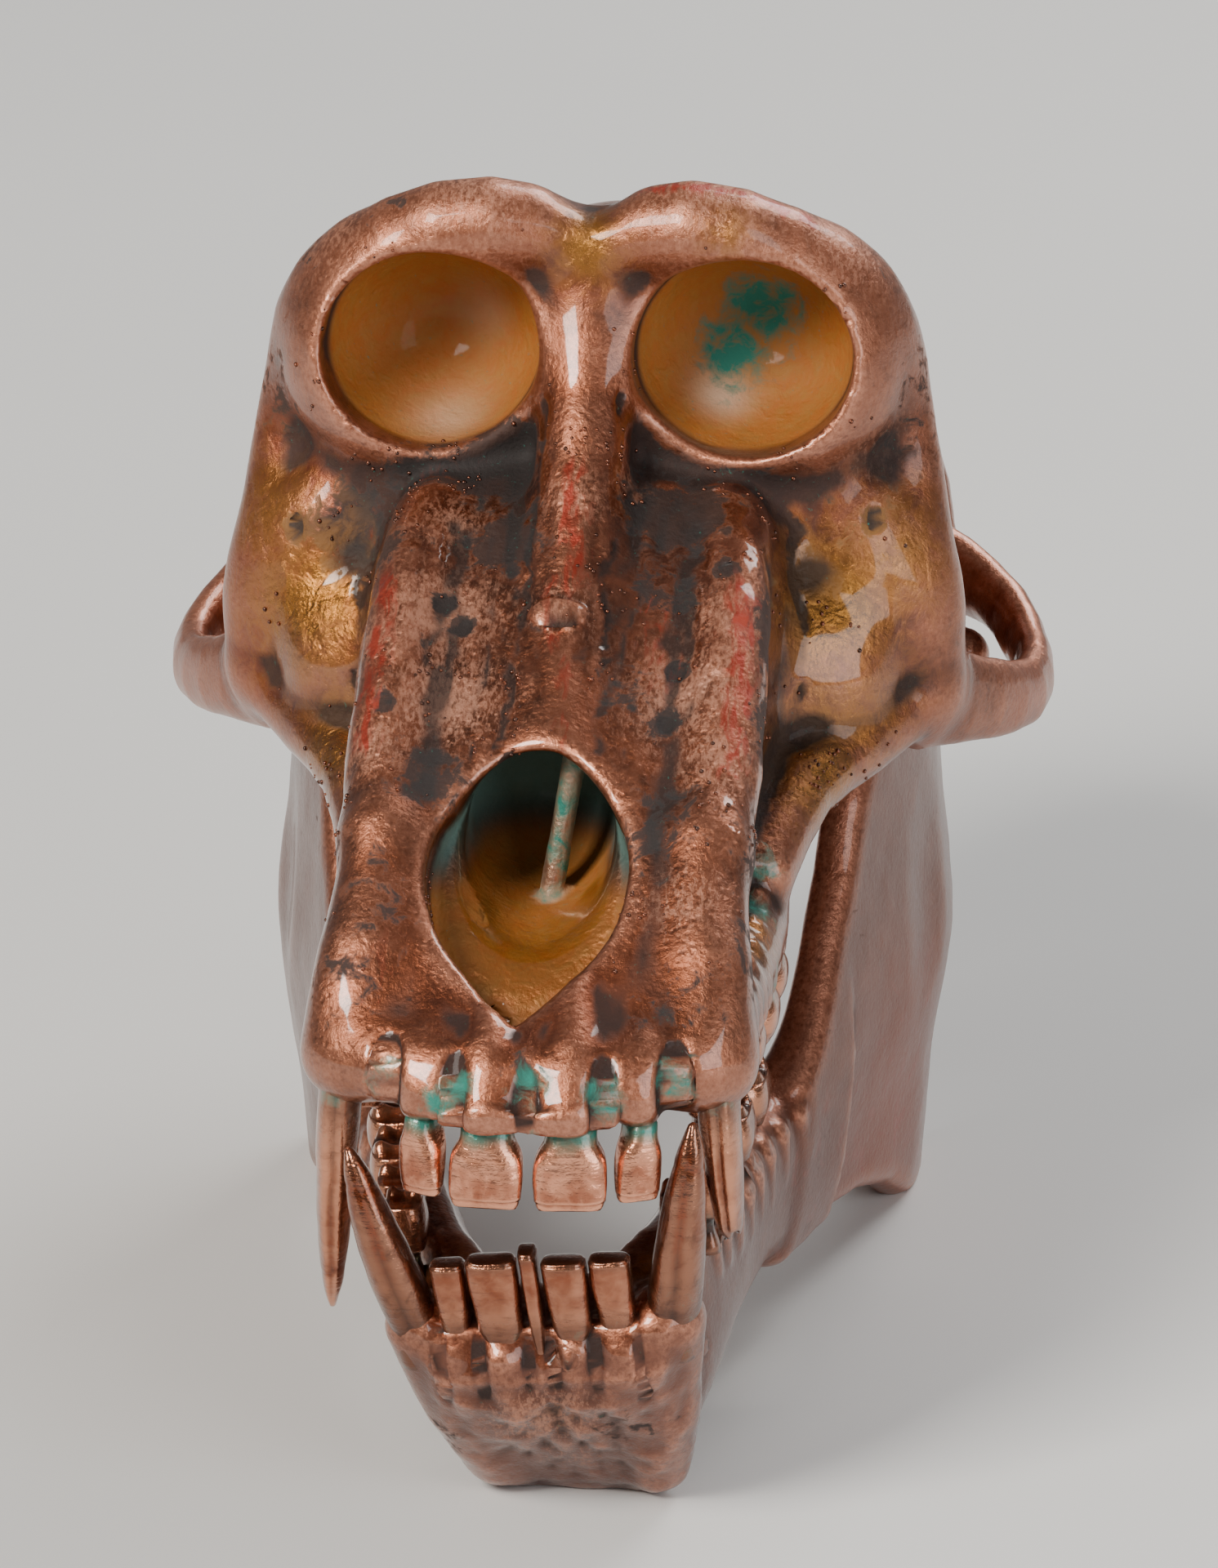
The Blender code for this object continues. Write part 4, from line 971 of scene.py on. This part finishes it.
def upper_teeth():
    for side, sign in SIDES:
        for name, x, y, turn, half, height in UPPER_INCISORS:
            shape = crown_tooth((sign * x + 1, y), GUM_Z, -1, half, sign * turn, INCISOR_LEAN, height, 2.6,
                                UPPER_INCISOR_RIM, 0)
            tooth_piece(f"upper_{side}_{name}_incisor", *shape, straight, GUM_Z, -height,
                        bright=0.95, gold=0, verdigris=0.9, worn=0)
        gum, tip = mirrored(UPPER_CANINE["gum"], sign), mirrored(UPPER_CANINE[side], sign)
        shape = canine_tooth(gum, tip, UPPER_CANINE["half"], side == "left")
        tooth_piece(f"upper_{side}_canine", *shape, straight, gum[2], tip[2] - gum[2],
                    bright=0.5, gold=0.15, verdigris=0.35, worn=float(side == "left"))
        for name, ridges, (spot, half, height), _ in CHEEK_TEETH:
            centre = (sign * spot[0], spot[1])
            shape = crown_tooth(centre, GUM_Z, -1, half, 90, 0, height, 3, CHEEK_RIM, ridges)
            tooth_piece(f"upper_{side}_{name}", *shape, straight, GUM_Z, -height,
                        bright=0.45, gold=0.1, verdigris=0.5, worn=0)


def lower_teeth():
    for name, x, half_width, height in LOWER_INCISORS:
        centre = (x, -87.4 + 0.012 * x * x)
        shape = crown_tooth(centre, JAW_FRONT_GUM_Z, 1, (half_width, 2.3), 0, INCISOR_LEAN, height, 3.2,
                            LOWER_INCISOR_RIM, 0)
        tooth_piece(name, *shape, askew, JAW_FRONT_GUM_Z, height, bright=0.4, gold=0.1, verdigris=0.1, worn=1)
    for side, sign in SIDES:
        gum, tip = mirrored(LOWER_CANINE["gum"], sign), mirrored(LOWER_CANINE[side], sign)
        shape = canine_tooth(gum, tip, LOWER_CANINE["half"], False)
        tooth_piece(f"lower_{side}_canine", *shape, askew, gum[2], tip[2] - gum[2],
                    bright=0.15, gold=0.05, verdigris=0.15, worn=0)
        for name, ridges, _, (spot, half, height) in CHEEK_TEETH:
            centre = (sign * spot[0], spot[1])
            shape = crown_tooth(centre, JAW_GUM_Z, 1, half, 90, 0, height, 3, CHEEK_RIM, ridges)
            tooth_piece(f"lower_{side}_{name}", *shape, askew, JAW_GUM_Z, height,
                        bright=0.3, gold=0.15, verdigris=0.3, worn=0)


# Materials
class Value:
    """A number that a node tree works out, so that a sum is written as it is read."""

    def __init__(self, tree, socket):
        self.tree, self.socket = tree, socket

    def math(self, operation, *values, clamp=False):
        node = self.tree.nodes.new("ShaderNodeMath")
        node.operation, node.use_clamp = operation, clamp
        for place, value in zip(node.inputs, values):
            put(self.tree, place, value)
        return Value(self.tree, node.outputs[0])

    def __add__(self, other):
        return self.math("ADD", self, other)

    def __sub__(self, other):
        return self.math("SUBTRACT", self, other)

    def __rsub__(self, other):
        return self.math("SUBTRACT", other, self)

    def __mul__(self, other):
        return self.math("MULTIPLY", self, other)

    def __truediv__(self, other):
        return self.math("DIVIDE", self, other)

    def __rtruediv__(self, other):
        return self.math("DIVIDE", other, self)

    def __pow__(self, other):
        return self.math("POWER", self, other)

    def __neg__(self):
        return self.math("MULTIPLY", self, -1)

    __radd__, __rmul__ = __add__, __mul__

    def most(self, other):
        return self.math("MAXIMUM", self, other)

    def clamped(self):
        return self.math("ADD", self, 0, clamp=True)

    def between(self, low, high):
        """0 below low and 1 above high."""
        return ((self - low) / (high - low)).clamped()


def put(tree, place, value):
    """Gives an input socket its value, or links it."""
    if isinstance(value, Value):
        tree.links.new(value.socket, place)
    elif isinstance(value, bpy.types.NodeSocket):
        tree.links.new(value, place)
    else:
        place.default_value = value


class Finish:
    """A material, built a node at a time."""

    def __init__(self, name):
        self.material = bpy.data.materials.new(name)
        self.material.use_nodes = True
        self.tree = self.material.node_tree
        self.shader = self.tree.nodes["Principled BSDF"]
        self.place = self.node("ShaderNodeVectorMath", {"operation": "SCALE"}, {
            0: self.node("ShaderNodeTexCoord", {}, {}).outputs["Object"], "Scale": 1 / MM}).outputs[0]

    def node(self, kind, settings, sockets):
        node = self.tree.nodes.new(kind)
        for name, value in settings.items():
            setattr(node, name, value)
        for name, value in sockets.items():
            put(self.tree, node.inputs[name], value)
        return node

    def mask(self, name):
        return Value(self.tree, self.node("ShaderNodeAttribute", {"attribute_name": name}, {}).outputs["Fac"])

    def noise(self, size, detail=3.0, rough=0.5, warp=0.0, stretch=(1, 1, 1)):
        """Noise from 0 to 1 whose features are about the given size in millimetres."""
        at = self.node("ShaderNodeVectorMath", {"operation": "MULTIPLY"}, {0: self.place, 1: stretch})
        node = self.node("ShaderNodeTexNoise", {}, {
            "Vector": at.outputs[0], "Scale": 1 / size, "Detail": detail, "Roughness": rough,
            "Distortion": warp})
        return Value(self.tree, node.outputs[0])

    def cells(self, size, feature="F1"):
        node = self.node("ShaderNodeTexVoronoi", {"feature": feature}, {
            "Vector": self.place, "Scale": 1 / size})
        return Value(self.tree, node.outputs["Distance"])

    def mix(self, share, a, b):
        node = self.node("ShaderNodeMix", {"data_type": "RGBA"}, {0: share, 6: a, 7: b})
        return node.outputs[2]

    def layered(self, base, *layers):
        """Colours laid over a base, each by its share."""
        for share, colour in layers:
            base = self.mix(share, base, colour)
        return base

    def set(self, **values):
        for name, value in values.items():
            put(self.tree, self.shader.inputs[name.replace("_", " ")], value)

    def relief(self, height, depth):
        """Bumps of the given depth in millimetres."""
        node = self.node("ShaderNodeBump", {}, {"Strength": 1.0, "Distance": depth * MM, "Height": height})
        put(self.tree, self.shader.inputs["Normal"], node.outputs[0])


SALMON = (0.62, 0.26, 0.155, 1)
ETCHED = (0.50, 0.235, 0.150, 1)
COPPER = (0.235, 0.068, 0.029, 1)
DARK_COPPER = (0.105, 0.030, 0.013, 1)
BROWN = (0.065, 0.021, 0.010, 1)
TOOTH_COPPER = (0.80, 0.345, 0.20, 1)
NEAR_BLACK = (0.012, 0.008, 0.007, 1)
DEEP_RED = (0.30, 0.032, 0.012, 1)
RUST = (0.27, 0.055, 0.016, 1)
AMBER = (0.33, 0.135, 0.020, 1)
ORANGE = (0.36, 0.105, 0.010, 1)
GOLD = (0.30, 0.145, 0.040, 1)
VERDIGRIS = (0.025, 0.20, 0.15, 1)
SLATE = (0.13, 0.24, 0.21, 1)
PALE = (0.62, 0.42, 0.28, 1)


def bone_plating(name, base, dulling):
    """Aged copper over bone: worn bright on its edges with a painted highlight there, dark patches and
    painted shade in its hollows and creases, with coloured places.
    """
    f = Finish(name)
    hollow, crease, edge = f.mask("hollow"), f.mask("crease"), f.mask("edge")
    smooth, dark, cup, etched = f.mask("smooth"), f.mask("dark"), f.mask("cup"), f.mask("etched")
    blotch, mottle = f.noise(9, 4, 0.6, 0.6), f.noise(2.6, 6, 0.68, 0.5)
    speckle, fleck = f.noise(0.7, 4, 0.7), f.noise(0.9, 5, 0.75, 0.3, (1.6, 0.7, 0.7))
    streak = f.noise(1.6, 4, 0.6, 0.8, (1, 0.35, 0.35))
    tarnish = blotch.between(0.40, 0.60) * 0.7 + mottle.between(0.46, 0.62) * 0.4 + dulling
    # On convex edges the brown thins and salmon is laid: worn bright copper, and a painted highlight along
    # the edges too
    patina = (tarnish - edge * 0.8).clamped()
    # Near-black from the listed dark spots, and painted shade in deep hollows, broken up by the mottle
    dark_and_shade_amount = (dark * 1.5 + hollow.between(0.55, 1.0) * 0.5 + blotch.between(0.5, 0.8) * 0.2) * 1.15
    dark_patches_and_shade = (dark_and_shade_amount - 1.25 * mottle.between(0.30, 0.70) + 0.25 * dark).between(0.0, 0.35)
    # Painted shade: near-black in hollows and creases, where light does not reach
    deep = (hollow.between(0.55, 1.0) * 0.75 + crease.between(0.15, 0.9) * 0.95).clamped()
    rubbed_and_highlit = (edge * 0.9 * speckle.between(0.25, 0.60)).clamped()
    bare = (etched * 1.5 - fleck.between(0.42, 0.60)).clamped() * (1 - dark * 0.5)
    red = (f.mask("red") * 1.5 - streak.between(0.38, 0.58) * 1.1).clamped()
    amber = (f.mask("amber") * 1.3 - mottle.between(0.45, 0.75) * 0.6).clamped()
    green = (f.mask("green") * 1.7 - mottle.between(0.34, 0.64) * 1.1).clamped()
    pin = speckle.between(0.70, 0.78) * (1 - smooth * 0.6)
    stray = speckle.between(0.64, 0.74) * crease.between(0.2, 0.7) * 0.7
    colour = f.layered(
        base, (patina * 0.85, BROWN), (f.mask("rust") * 0.85, RUST), (bare * 0.85, ETCHED),
        (rubbed_and_highlit * 0.8, SALMON), (dark_patches_and_shade * 0.9, NEAR_BLACK), (amber * 0.9, AMBER), (red, DEEP_RED),
        (pin * 0.7, NEAR_BLACK),
        (deep * 0.9, NEAR_BLACK), (cup * 0.96, f.mix(mottle.between(0.35, 0.65), ORANGE, AMBER)),
        # the pale layer is painted highlight in the eye sockets, with the strut's own pale
        (f.mask("sooty") * 0.9, SLATE), (f.mask("pale") * 0.9, PALE), ((green + stray).clamped(), VERDIGRIS),
    )
    f.set(Base_Color=colour)
    lost = 0.6 * green + 0.5 * deep + 0.5 * cup + 0.3 * red + 0.3 * bare + 0.8 * dark_patches_and_shade + 0.2 * smooth
    f.set(Metallic=(0.9 - lost).clamped())
    dull = (deep + dark_patches_and_shade).clamped()
    roughness = 0.34 + 0.4 * dull + 0.25 * green + 0.22 * (speckle - 0.5) + 0.14 * bare - 0.08 * amber
    f.set(Roughness=roughness.clamped())
    coat = 0.85 - 0.6 * bare - 0.8 * dull - 0.5 * green - 0.45 * smooth
    f.set(Coat_Weight=coat.clamped(), Coat_Roughness=0.07, Coat_IOR=1.5)
    pits = f.cells(1.1).between(0.12, 0.42)
    ripples = f.noise(2.4, 2, 0.5, 0.7)
    rough = (1 - smooth * 0.7) * (0.4 + 0.6 * etched)
    sheet = (amber + 0.6 * cup) * ripples
    f.relief(0.35 * mottle + 0.20 * speckle + (0.18 * pits + 0.25 * fleck) * rough + 0.9 * sheet, 0.5)
    return f.material


def tooth_plating(name):
    """Copper over enamel: glossy, with bright necks, painted highlights on the edges, redder faces, and green
    towards the gum.
    """
    f = Finish(name)
    crown, edge, crease = f.mask("crown"), f.mask("edge"), f.mask("crease")
    bright, gold, worn = f.mask("bright"), f.mask("gold"), f.mask("worn")
    mottle, speckle = f.noise(2.0, 4, 0.6, 0.4), f.noise(0.6, 4, 0.7)
    rings = f.noise(0.9, 3, 0.5, 0.2, (0.3, 0.3, 1.6))
    face = (crown.between(0.25, 0.5) * (1 - edge.between(0.1, 0.6)) * mottle.between(0.25, 0.6)).clamped()
    # Light copper by each tooth's bright share, and a painted highlight along its edges
    lit = bright * (1 - 0.7 * face) + edge * (0.15 + 0.4 * bright)
    shine = (lit - mottle.between(0.5, 0.8) * 0.3).clamped()
    gum = (0.24 - crown + mottle * 0.22).between(0.05, 0.32)
    green = (f.mask("verdigris") * gum * 1.6 - mottle.between(0.35, 0.65) * 0.9).clamped()
    stump = (worn * crown.between(0.80, 1.0) * 0.85).clamped()
    colour = f.layered(
        BROWN, (bright.between(0.05, 0.45), COPPER), (shine, TOOTH_COPPER), (face * 0.8, RUST),
        # the crease layer is painted shade in the teeth's creases, and the dark of the canine's crack
        (gold * 0.6, GOLD), (gum * 0.6, BROWN), (crease * 0.85, NEAR_BLACK),
        (rings.between(0.60, 0.74) * 0.35, BROWN), (stump, BROWN), (green, VERDIGRIS),
    )
    f.set(Base_Color=colour)
    f.set(Metallic=(0.92 - 0.6 * green - 0.35 * gold).clamped())
    f.set(Roughness=(0.17 + 0.2 * gum + 0.16 * (speckle - 0.5) + 0.1 * stump).clamped())
    f.set(Coat_Weight=0.7, Coat_Roughness=0.07, Coat_IOR=1.5)
    f.relief(0.6 * mottle + 0.2 * speckle + 0.35 * rings, 0.32)
    return f.material


def studio_paint(name):
    f = Finish(name)
    grain = f.noise(180, 3, 0.5)
    f.set(Base_Color=f.mix(grain, (0.70, 0.69, 0.67, 1), (0.74, 0.73, 0.71, 1)))
    f.set(Roughness=0.75 + 0.1 * (grain - 0.5))
    return f.material


# Small beads of metal that the plating grew on the rough bone
def bead_nodes(material):
    tree = bpy.data.node_groups.new("Plating Beads", "GeometryNodeTree")
    face = tree.interface
    face.new_socket("Geometry", in_out="INPUT", socket_type="NodeSocketGeometry")
    for name, kind, default in (
        ("Beads per Square Metre", "NodeSocketFloat", 1000.0), ("Smallest Radius", "NodeSocketFloat", 0.0001),
        ("Largest Radius", "NodeSocketFloat", 0.0003), ("Seed", "NodeSocketInt", 0),
    ):
        face.new_socket(name, in_out="INPUT", socket_type=kind).default_value = default
    face.new_socket("Geometry", in_out="OUTPUT", socket_type="NodeSocketGeometry")

    def add(kind, links, **settings):
        node = tree.nodes.new(kind)
        for name, value in settings.items():
            setattr(node, name, value)
        for name, value in links.items():
            put(tree, node.inputs[name], value)
        return node

    given = tree.nodes.new("NodeGroupInput").outputs
    rough = add("GeometryNodeInputNamedAttribute", {"Name": "beaded"}, data_type="FLOAT").outputs["Attribute"]
    density = add("ShaderNodeMath", {0: rough, 1: given["Beads per Square Metre"]}, operation="MULTIPLY")
    spread = add("GeometryNodeDistributePointsOnFaces", {
        "Mesh": given["Geometry"], "Density": density.outputs[0], "Seed": given["Seed"]})
    ball = add("GeometryNodeMeshIcoSphere", {"Radius": 1.0, "Subdivisions": 2}).outputs["Mesh"]
    size = add("FunctionNodeRandomValue", {
        2: given["Smallest Radius"], 3: given["Largest Radius"], "Seed": given["Seed"]}, data_type="FLOAT")
    beads = add("GeometryNodeInstanceOnPoints", {
        "Points": spread.outputs["Points"], "Instance": ball, "Rotation": spread.outputs["Rotation"],
        "Scale": size.outputs[1]})
    plain = add("GeometryNodeRealizeInstances", {"Geometry": beads.outputs[0]})
    painted = add("GeometryNodeSetMaterial", {"Geometry": plain.outputs[0], "Material": material})
    put(tree, tree.nodes.new("NodeGroupOutput").inputs[0], painted.outputs[0])
    return tree


def bead_plating(name):
    f = Finish(name)
    mottle = f.noise(1.5, 3, 0.6)
    f.set(Base_Color=f.mix(mottle.between(0.4, 0.6), COPPER, BROWN), Metallic=0.95)
    f.set(Roughness=0.3 + 0.15 * (mottle - 0.5), Coat_Weight=0.7, Coat_Roughness=0.09)
    return f.material


SMALLEST_BEAD = 0.4         # the smallest bead's radius, as a share of the largest one's


def beads_on(obj, settings):
    """The beads that grow on a piece, as a plain mesh."""
    host = bpy.data.objects.new("host", obj.data)
    bpy.context.scene.collection.objects.link(host)
    tree = bead_nodes(finish_named("bead_plating", bead_plating))
    grown = host.modifiers.new("beads", "NODES")
    grown.node_group = tree
    values = {
        "Beads per Square Metre": settings.bead_density,
        "Smallest Radius": settings.bead_radius * SMALLEST_BEAD,
        "Largest Radius": settings.bead_radius, "Seed": settings.bead_seed,
    }
    for socket in tree.interface.items_tree:
        if socket.in_out == "INPUT" and socket.name in values:
            grown[socket.identifier] = values[socket.name]
    mesh = baked(host)
    host.modifiers.remove(grown)
    bpy.data.objects.remove(host)
    beads = bpy.data.objects.new("plating_beads", mesh)
    bpy.context.scene.collection.objects.link(beads)
    mesh.shade_smooth()
    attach(beads, BODY)


# Stage
PHOTO_VIEW = {"azimuth": 5.3, "elevation": 20.0, "distance": 1.0, "target": (0.0019, -0.0048, 0.064)}
PHOTO_SCALE = 9.7            # pixels of the photograph for each millimetre at the target
PHOTO_WIDTH = 1491
SENSOR = 36.0
LAMPS = [
    # name, place, size, share of the light strength, colour
    ("key_softbox", (-0.75, -0.95, 1.05), 0.55, 1.0, (1.0, 0.96, 0.90)),
    ("fill_softbox", (0.95, -0.8, 0.45), 0.8, 0.28, (0.93, 0.96, 1.0)),
    ("back_softbox", (0.5, 0.9, 1.0), 0.7, 0.45, (1.0, 1.0, 1.0)),
]


def aim(obj, place, target):
    obj.location = place
    obj.rotation_euler = (Vector(target) - Vector(place)).to_track_quat("-Z", "Y").to_euler()


def studio(settings):
    scene = bpy.context.scene
    world = bpy.data.worlds.new("pale_room")
    world.use_nodes = True
    background = world.node_tree.nodes["Background"]
    background.inputs["Color"].default_value = (1, 1, 1, 1)
    background.inputs["Strength"].default_value = settings.room_light
    scene.world = world
    mesh = bpy.data.meshes.new("studio_floor")
    half = settings.floor_size / 2
    corners = [(-half, -half, 0), (half, -half, 0), (half, half, 0), (-half, half, 0)]
    mesh.from_pydata(corners, [], [(0, 1, 2, 3)])
    floor = bpy.data.objects.new("studio_floor", mesh)
    mesh.materials.append(finish_named("studio_paint", studio_paint))
    scene.collection.objects.link(floor)
    for name, place, size, share, colour in LAMPS:
        light = bpy.data.lights.new(name, "AREA")
        light.shape, light.size, light.color = "SQUARE", size, colour
        light.energy = share * settings.key_light
        lamp = bpy.data.objects.new(name, light)
        scene.collection.objects.link(lamp)
        aim(lamp, place, PHOTO_VIEW["target"])
    turn, rise = math.radians(PHOTO_VIEW["azimuth"]), math.radians(PHOTO_VIEW["elevation"])
    away = Vector((math.sin(turn) * math.cos(rise), -math.cos(turn) * math.cos(rise), math.sin(rise)))
    target = Vector(PHOTO_VIEW["target"])
    data = bpy.data.cameras.new("photo_camera")
    data.sensor_width, data.sensor_fit = SENSOR, "HORIZONTAL"
    data.lens = SENSOR * PHOTO_SCALE * PHOTO_VIEW["distance"] / MM / PHOTO_WIDTH
    camera = bpy.data.objects.new("photo_camera", data)
    scene.collection.objects.link(camera)
    aim(camera, target + away * PHOTO_VIEW["distance"], target)
    scene.camera = camera


# The add-on
class BoneSettings(bpy.types.PropertyGroup):
    skull_detail: FloatProperty(
        name="Skull Detail", description="Spacing of the upper skull's points", default=0.0007, min=0.0004,
        subtype="DISTANCE", unit="LENGTH")
    jaw_detail: FloatProperty(
        name="Jaw Detail", description="Spacing of the lower jaw's points", default=0.00065, min=0.0004,
        subtype="DISTANCE", unit="LENGTH")
    kept_faces: FloatProperty(
        name="Kept Faces", description="Share of the faces that a bone keeps once its detail is in place",
        default=0.6, min=0.1, max=1, subtype="FACTOR")
    bead_density: FloatProperty(
        name="Bead Density", description="Beads of plating for each square metre of rough bone",
        default=350000)
    bead_radius: FloatProperty(
        name="Bead Radius", description="Radius of the largest bead", default=0.00032, subtype="DISTANCE",
        unit="LENGTH")
    bead_seed: IntProperty(name="Bead Seed", description="Which scatter of beads is made", default=4)


class StudioSettings(bpy.types.PropertyGroup):
    key_light: FloatProperty(
        name="Key Light", description="Power of the main softbox, which the others follow", default=30.0,
        unit="POWER")
    room_light: FloatProperty(
        name="Room Light", description="Strength of the light from all round", default=0.17)
    floor_size: FloatProperty(
        name="Floor Size", description="Length of each side of the floor", default=6.0, subtype="DISTANCE",
        unit="LENGTH")


JAW_DULLING = 0.35          # how much more tarnish the lower jaw has than the upper skull
SKULL_BLOCK = ((-62, -104, 46), (62, 112, 150))     # the low and high corners that a bone is sampled between
JAW_BLOCK = ((-52, -100, -8), (52, 54, 94))


def skull_plating(name):
    return bone_plating(name, COPPER, 0.0)


def jaw_plating(name):
    return bone_plating(name, DARK_COPPER, JAW_DULLING)


class SKULL_OT_cranium(bpy.types.Operator):
    """Adds the upper skull"""
    bl_idname = "skull.cranium"
    bl_label = "Upper Skull"

    def execute(self, context):
        bones = context.scene.skull_bones
        obj = bone_mesh("plated_cranium", cranium, fine_cranium, *SKULL_BLOCK, bones.skull_detail / MM,
                        bones.kept_faces)
        mark_cranium(obj.data)
        place_piece(obj, "cranium", finish_named("skull_plating", skull_plating))
        return {"FINISHED"}


class SKULL_OT_mandible(bpy.types.Operator):
    """Adds the lower jaw"""
    bl_idname = "skull.mandible"
    bl_label = "Lower Jaw"

    def execute(self, context):
        bones = context.scene.skull_bones
        obj = bone_mesh("plated_mandible", jaw_on_floor, fine_jaw, *JAW_BLOCK, bones.jaw_detail / MM, 1)
        mark_jaw(obj.data)
        place_piece(obj, "mandible", finish_named("jaw_plating", jaw_plating))
        return {"FINISHED"}


class SKULL_OT_upper_teeth(bpy.types.Operator):
    """Adds the sixteen upper teeth"""
    bl_idname = "skull.upper_teeth"
    bl_label = "Upper Teeth"

    def execute(self, context):
        upper_teeth()
        return {"FINISHED"}


class SKULL_OT_lower_teeth(bpy.types.Operator):
    """Adds the lower teeth, with the narrow peg between the front ones"""
    bl_idname = "skull.lower_teeth"
    bl_label = "Lower Teeth"

    def execute(self, context):
        lower_teeth()
        return {"FINISHED"}


class SKULL_OT_beads(bpy.types.Operator):
    """Scatters beads of plating over the rough bone of the upper skull"""
    bl_idname = "skull.beads"
    bl_label = "Plating Beads"

    def execute(self, context):
        beads_on(bpy.data.objects["plated_cranium"], context.scene.skull_bones)
        return {"FINISHED"}


class SKULL_OT_studio(bpy.types.Operator):
    """Adds the floor, the softboxes and the camera"""
    bl_idname = "skull.studio"
    bl_label = "Studio"

    def execute(self, context):
        studio(context.scene.skull_studio)
        return {"FINISHED"}


class SKULL_PT_panel(bpy.types.Panel):
    bl_label = "Copper Baboon Skull"
    bl_space_type = "VIEW_3D"
    bl_region_type = "UI"
    bl_category = "Skull"

    def draw(self, context):
        for group in (context.scene.skull_bones, context.scene.skull_studio):
            for name in group.bl_rna.properties.keys():
                if name not in ("rna_type", "name"):
                    self.layout.prop(group, name)
        for operator in OPERATORS:
            self.layout.operator(operator.bl_idname)


OPERATORS = [
    SKULL_OT_studio, SKULL_OT_cranium, SKULL_OT_mandible, SKULL_OT_upper_teeth, SKULL_OT_lower_teeth,
    SKULL_OT_beads,
]
CLASSES = [BoneSettings, StudioSettings, *OPERATORS, SKULL_PT_panel]


def register():
    for cls in CLASSES:
        bpy.utils.register_class(cls)
    bpy.types.Scene.skull_bones = PointerProperty(type=BoneSettings)
    bpy.types.Scene.skull_studio = PointerProperty(type=StudioSettings)


def unregister():
    del bpy.types.Scene.skull_studio
    del bpy.types.Scene.skull_bones
    for cls in reversed(CLASSES):
        bpy.utils.unregister_class(cls)


def main():
    register()
    for operator in OPERATORS:
        getattr(bpy.ops.skull, operator.bl_idname.split(".")[1])()


if __name__ == "__main__":
    main()
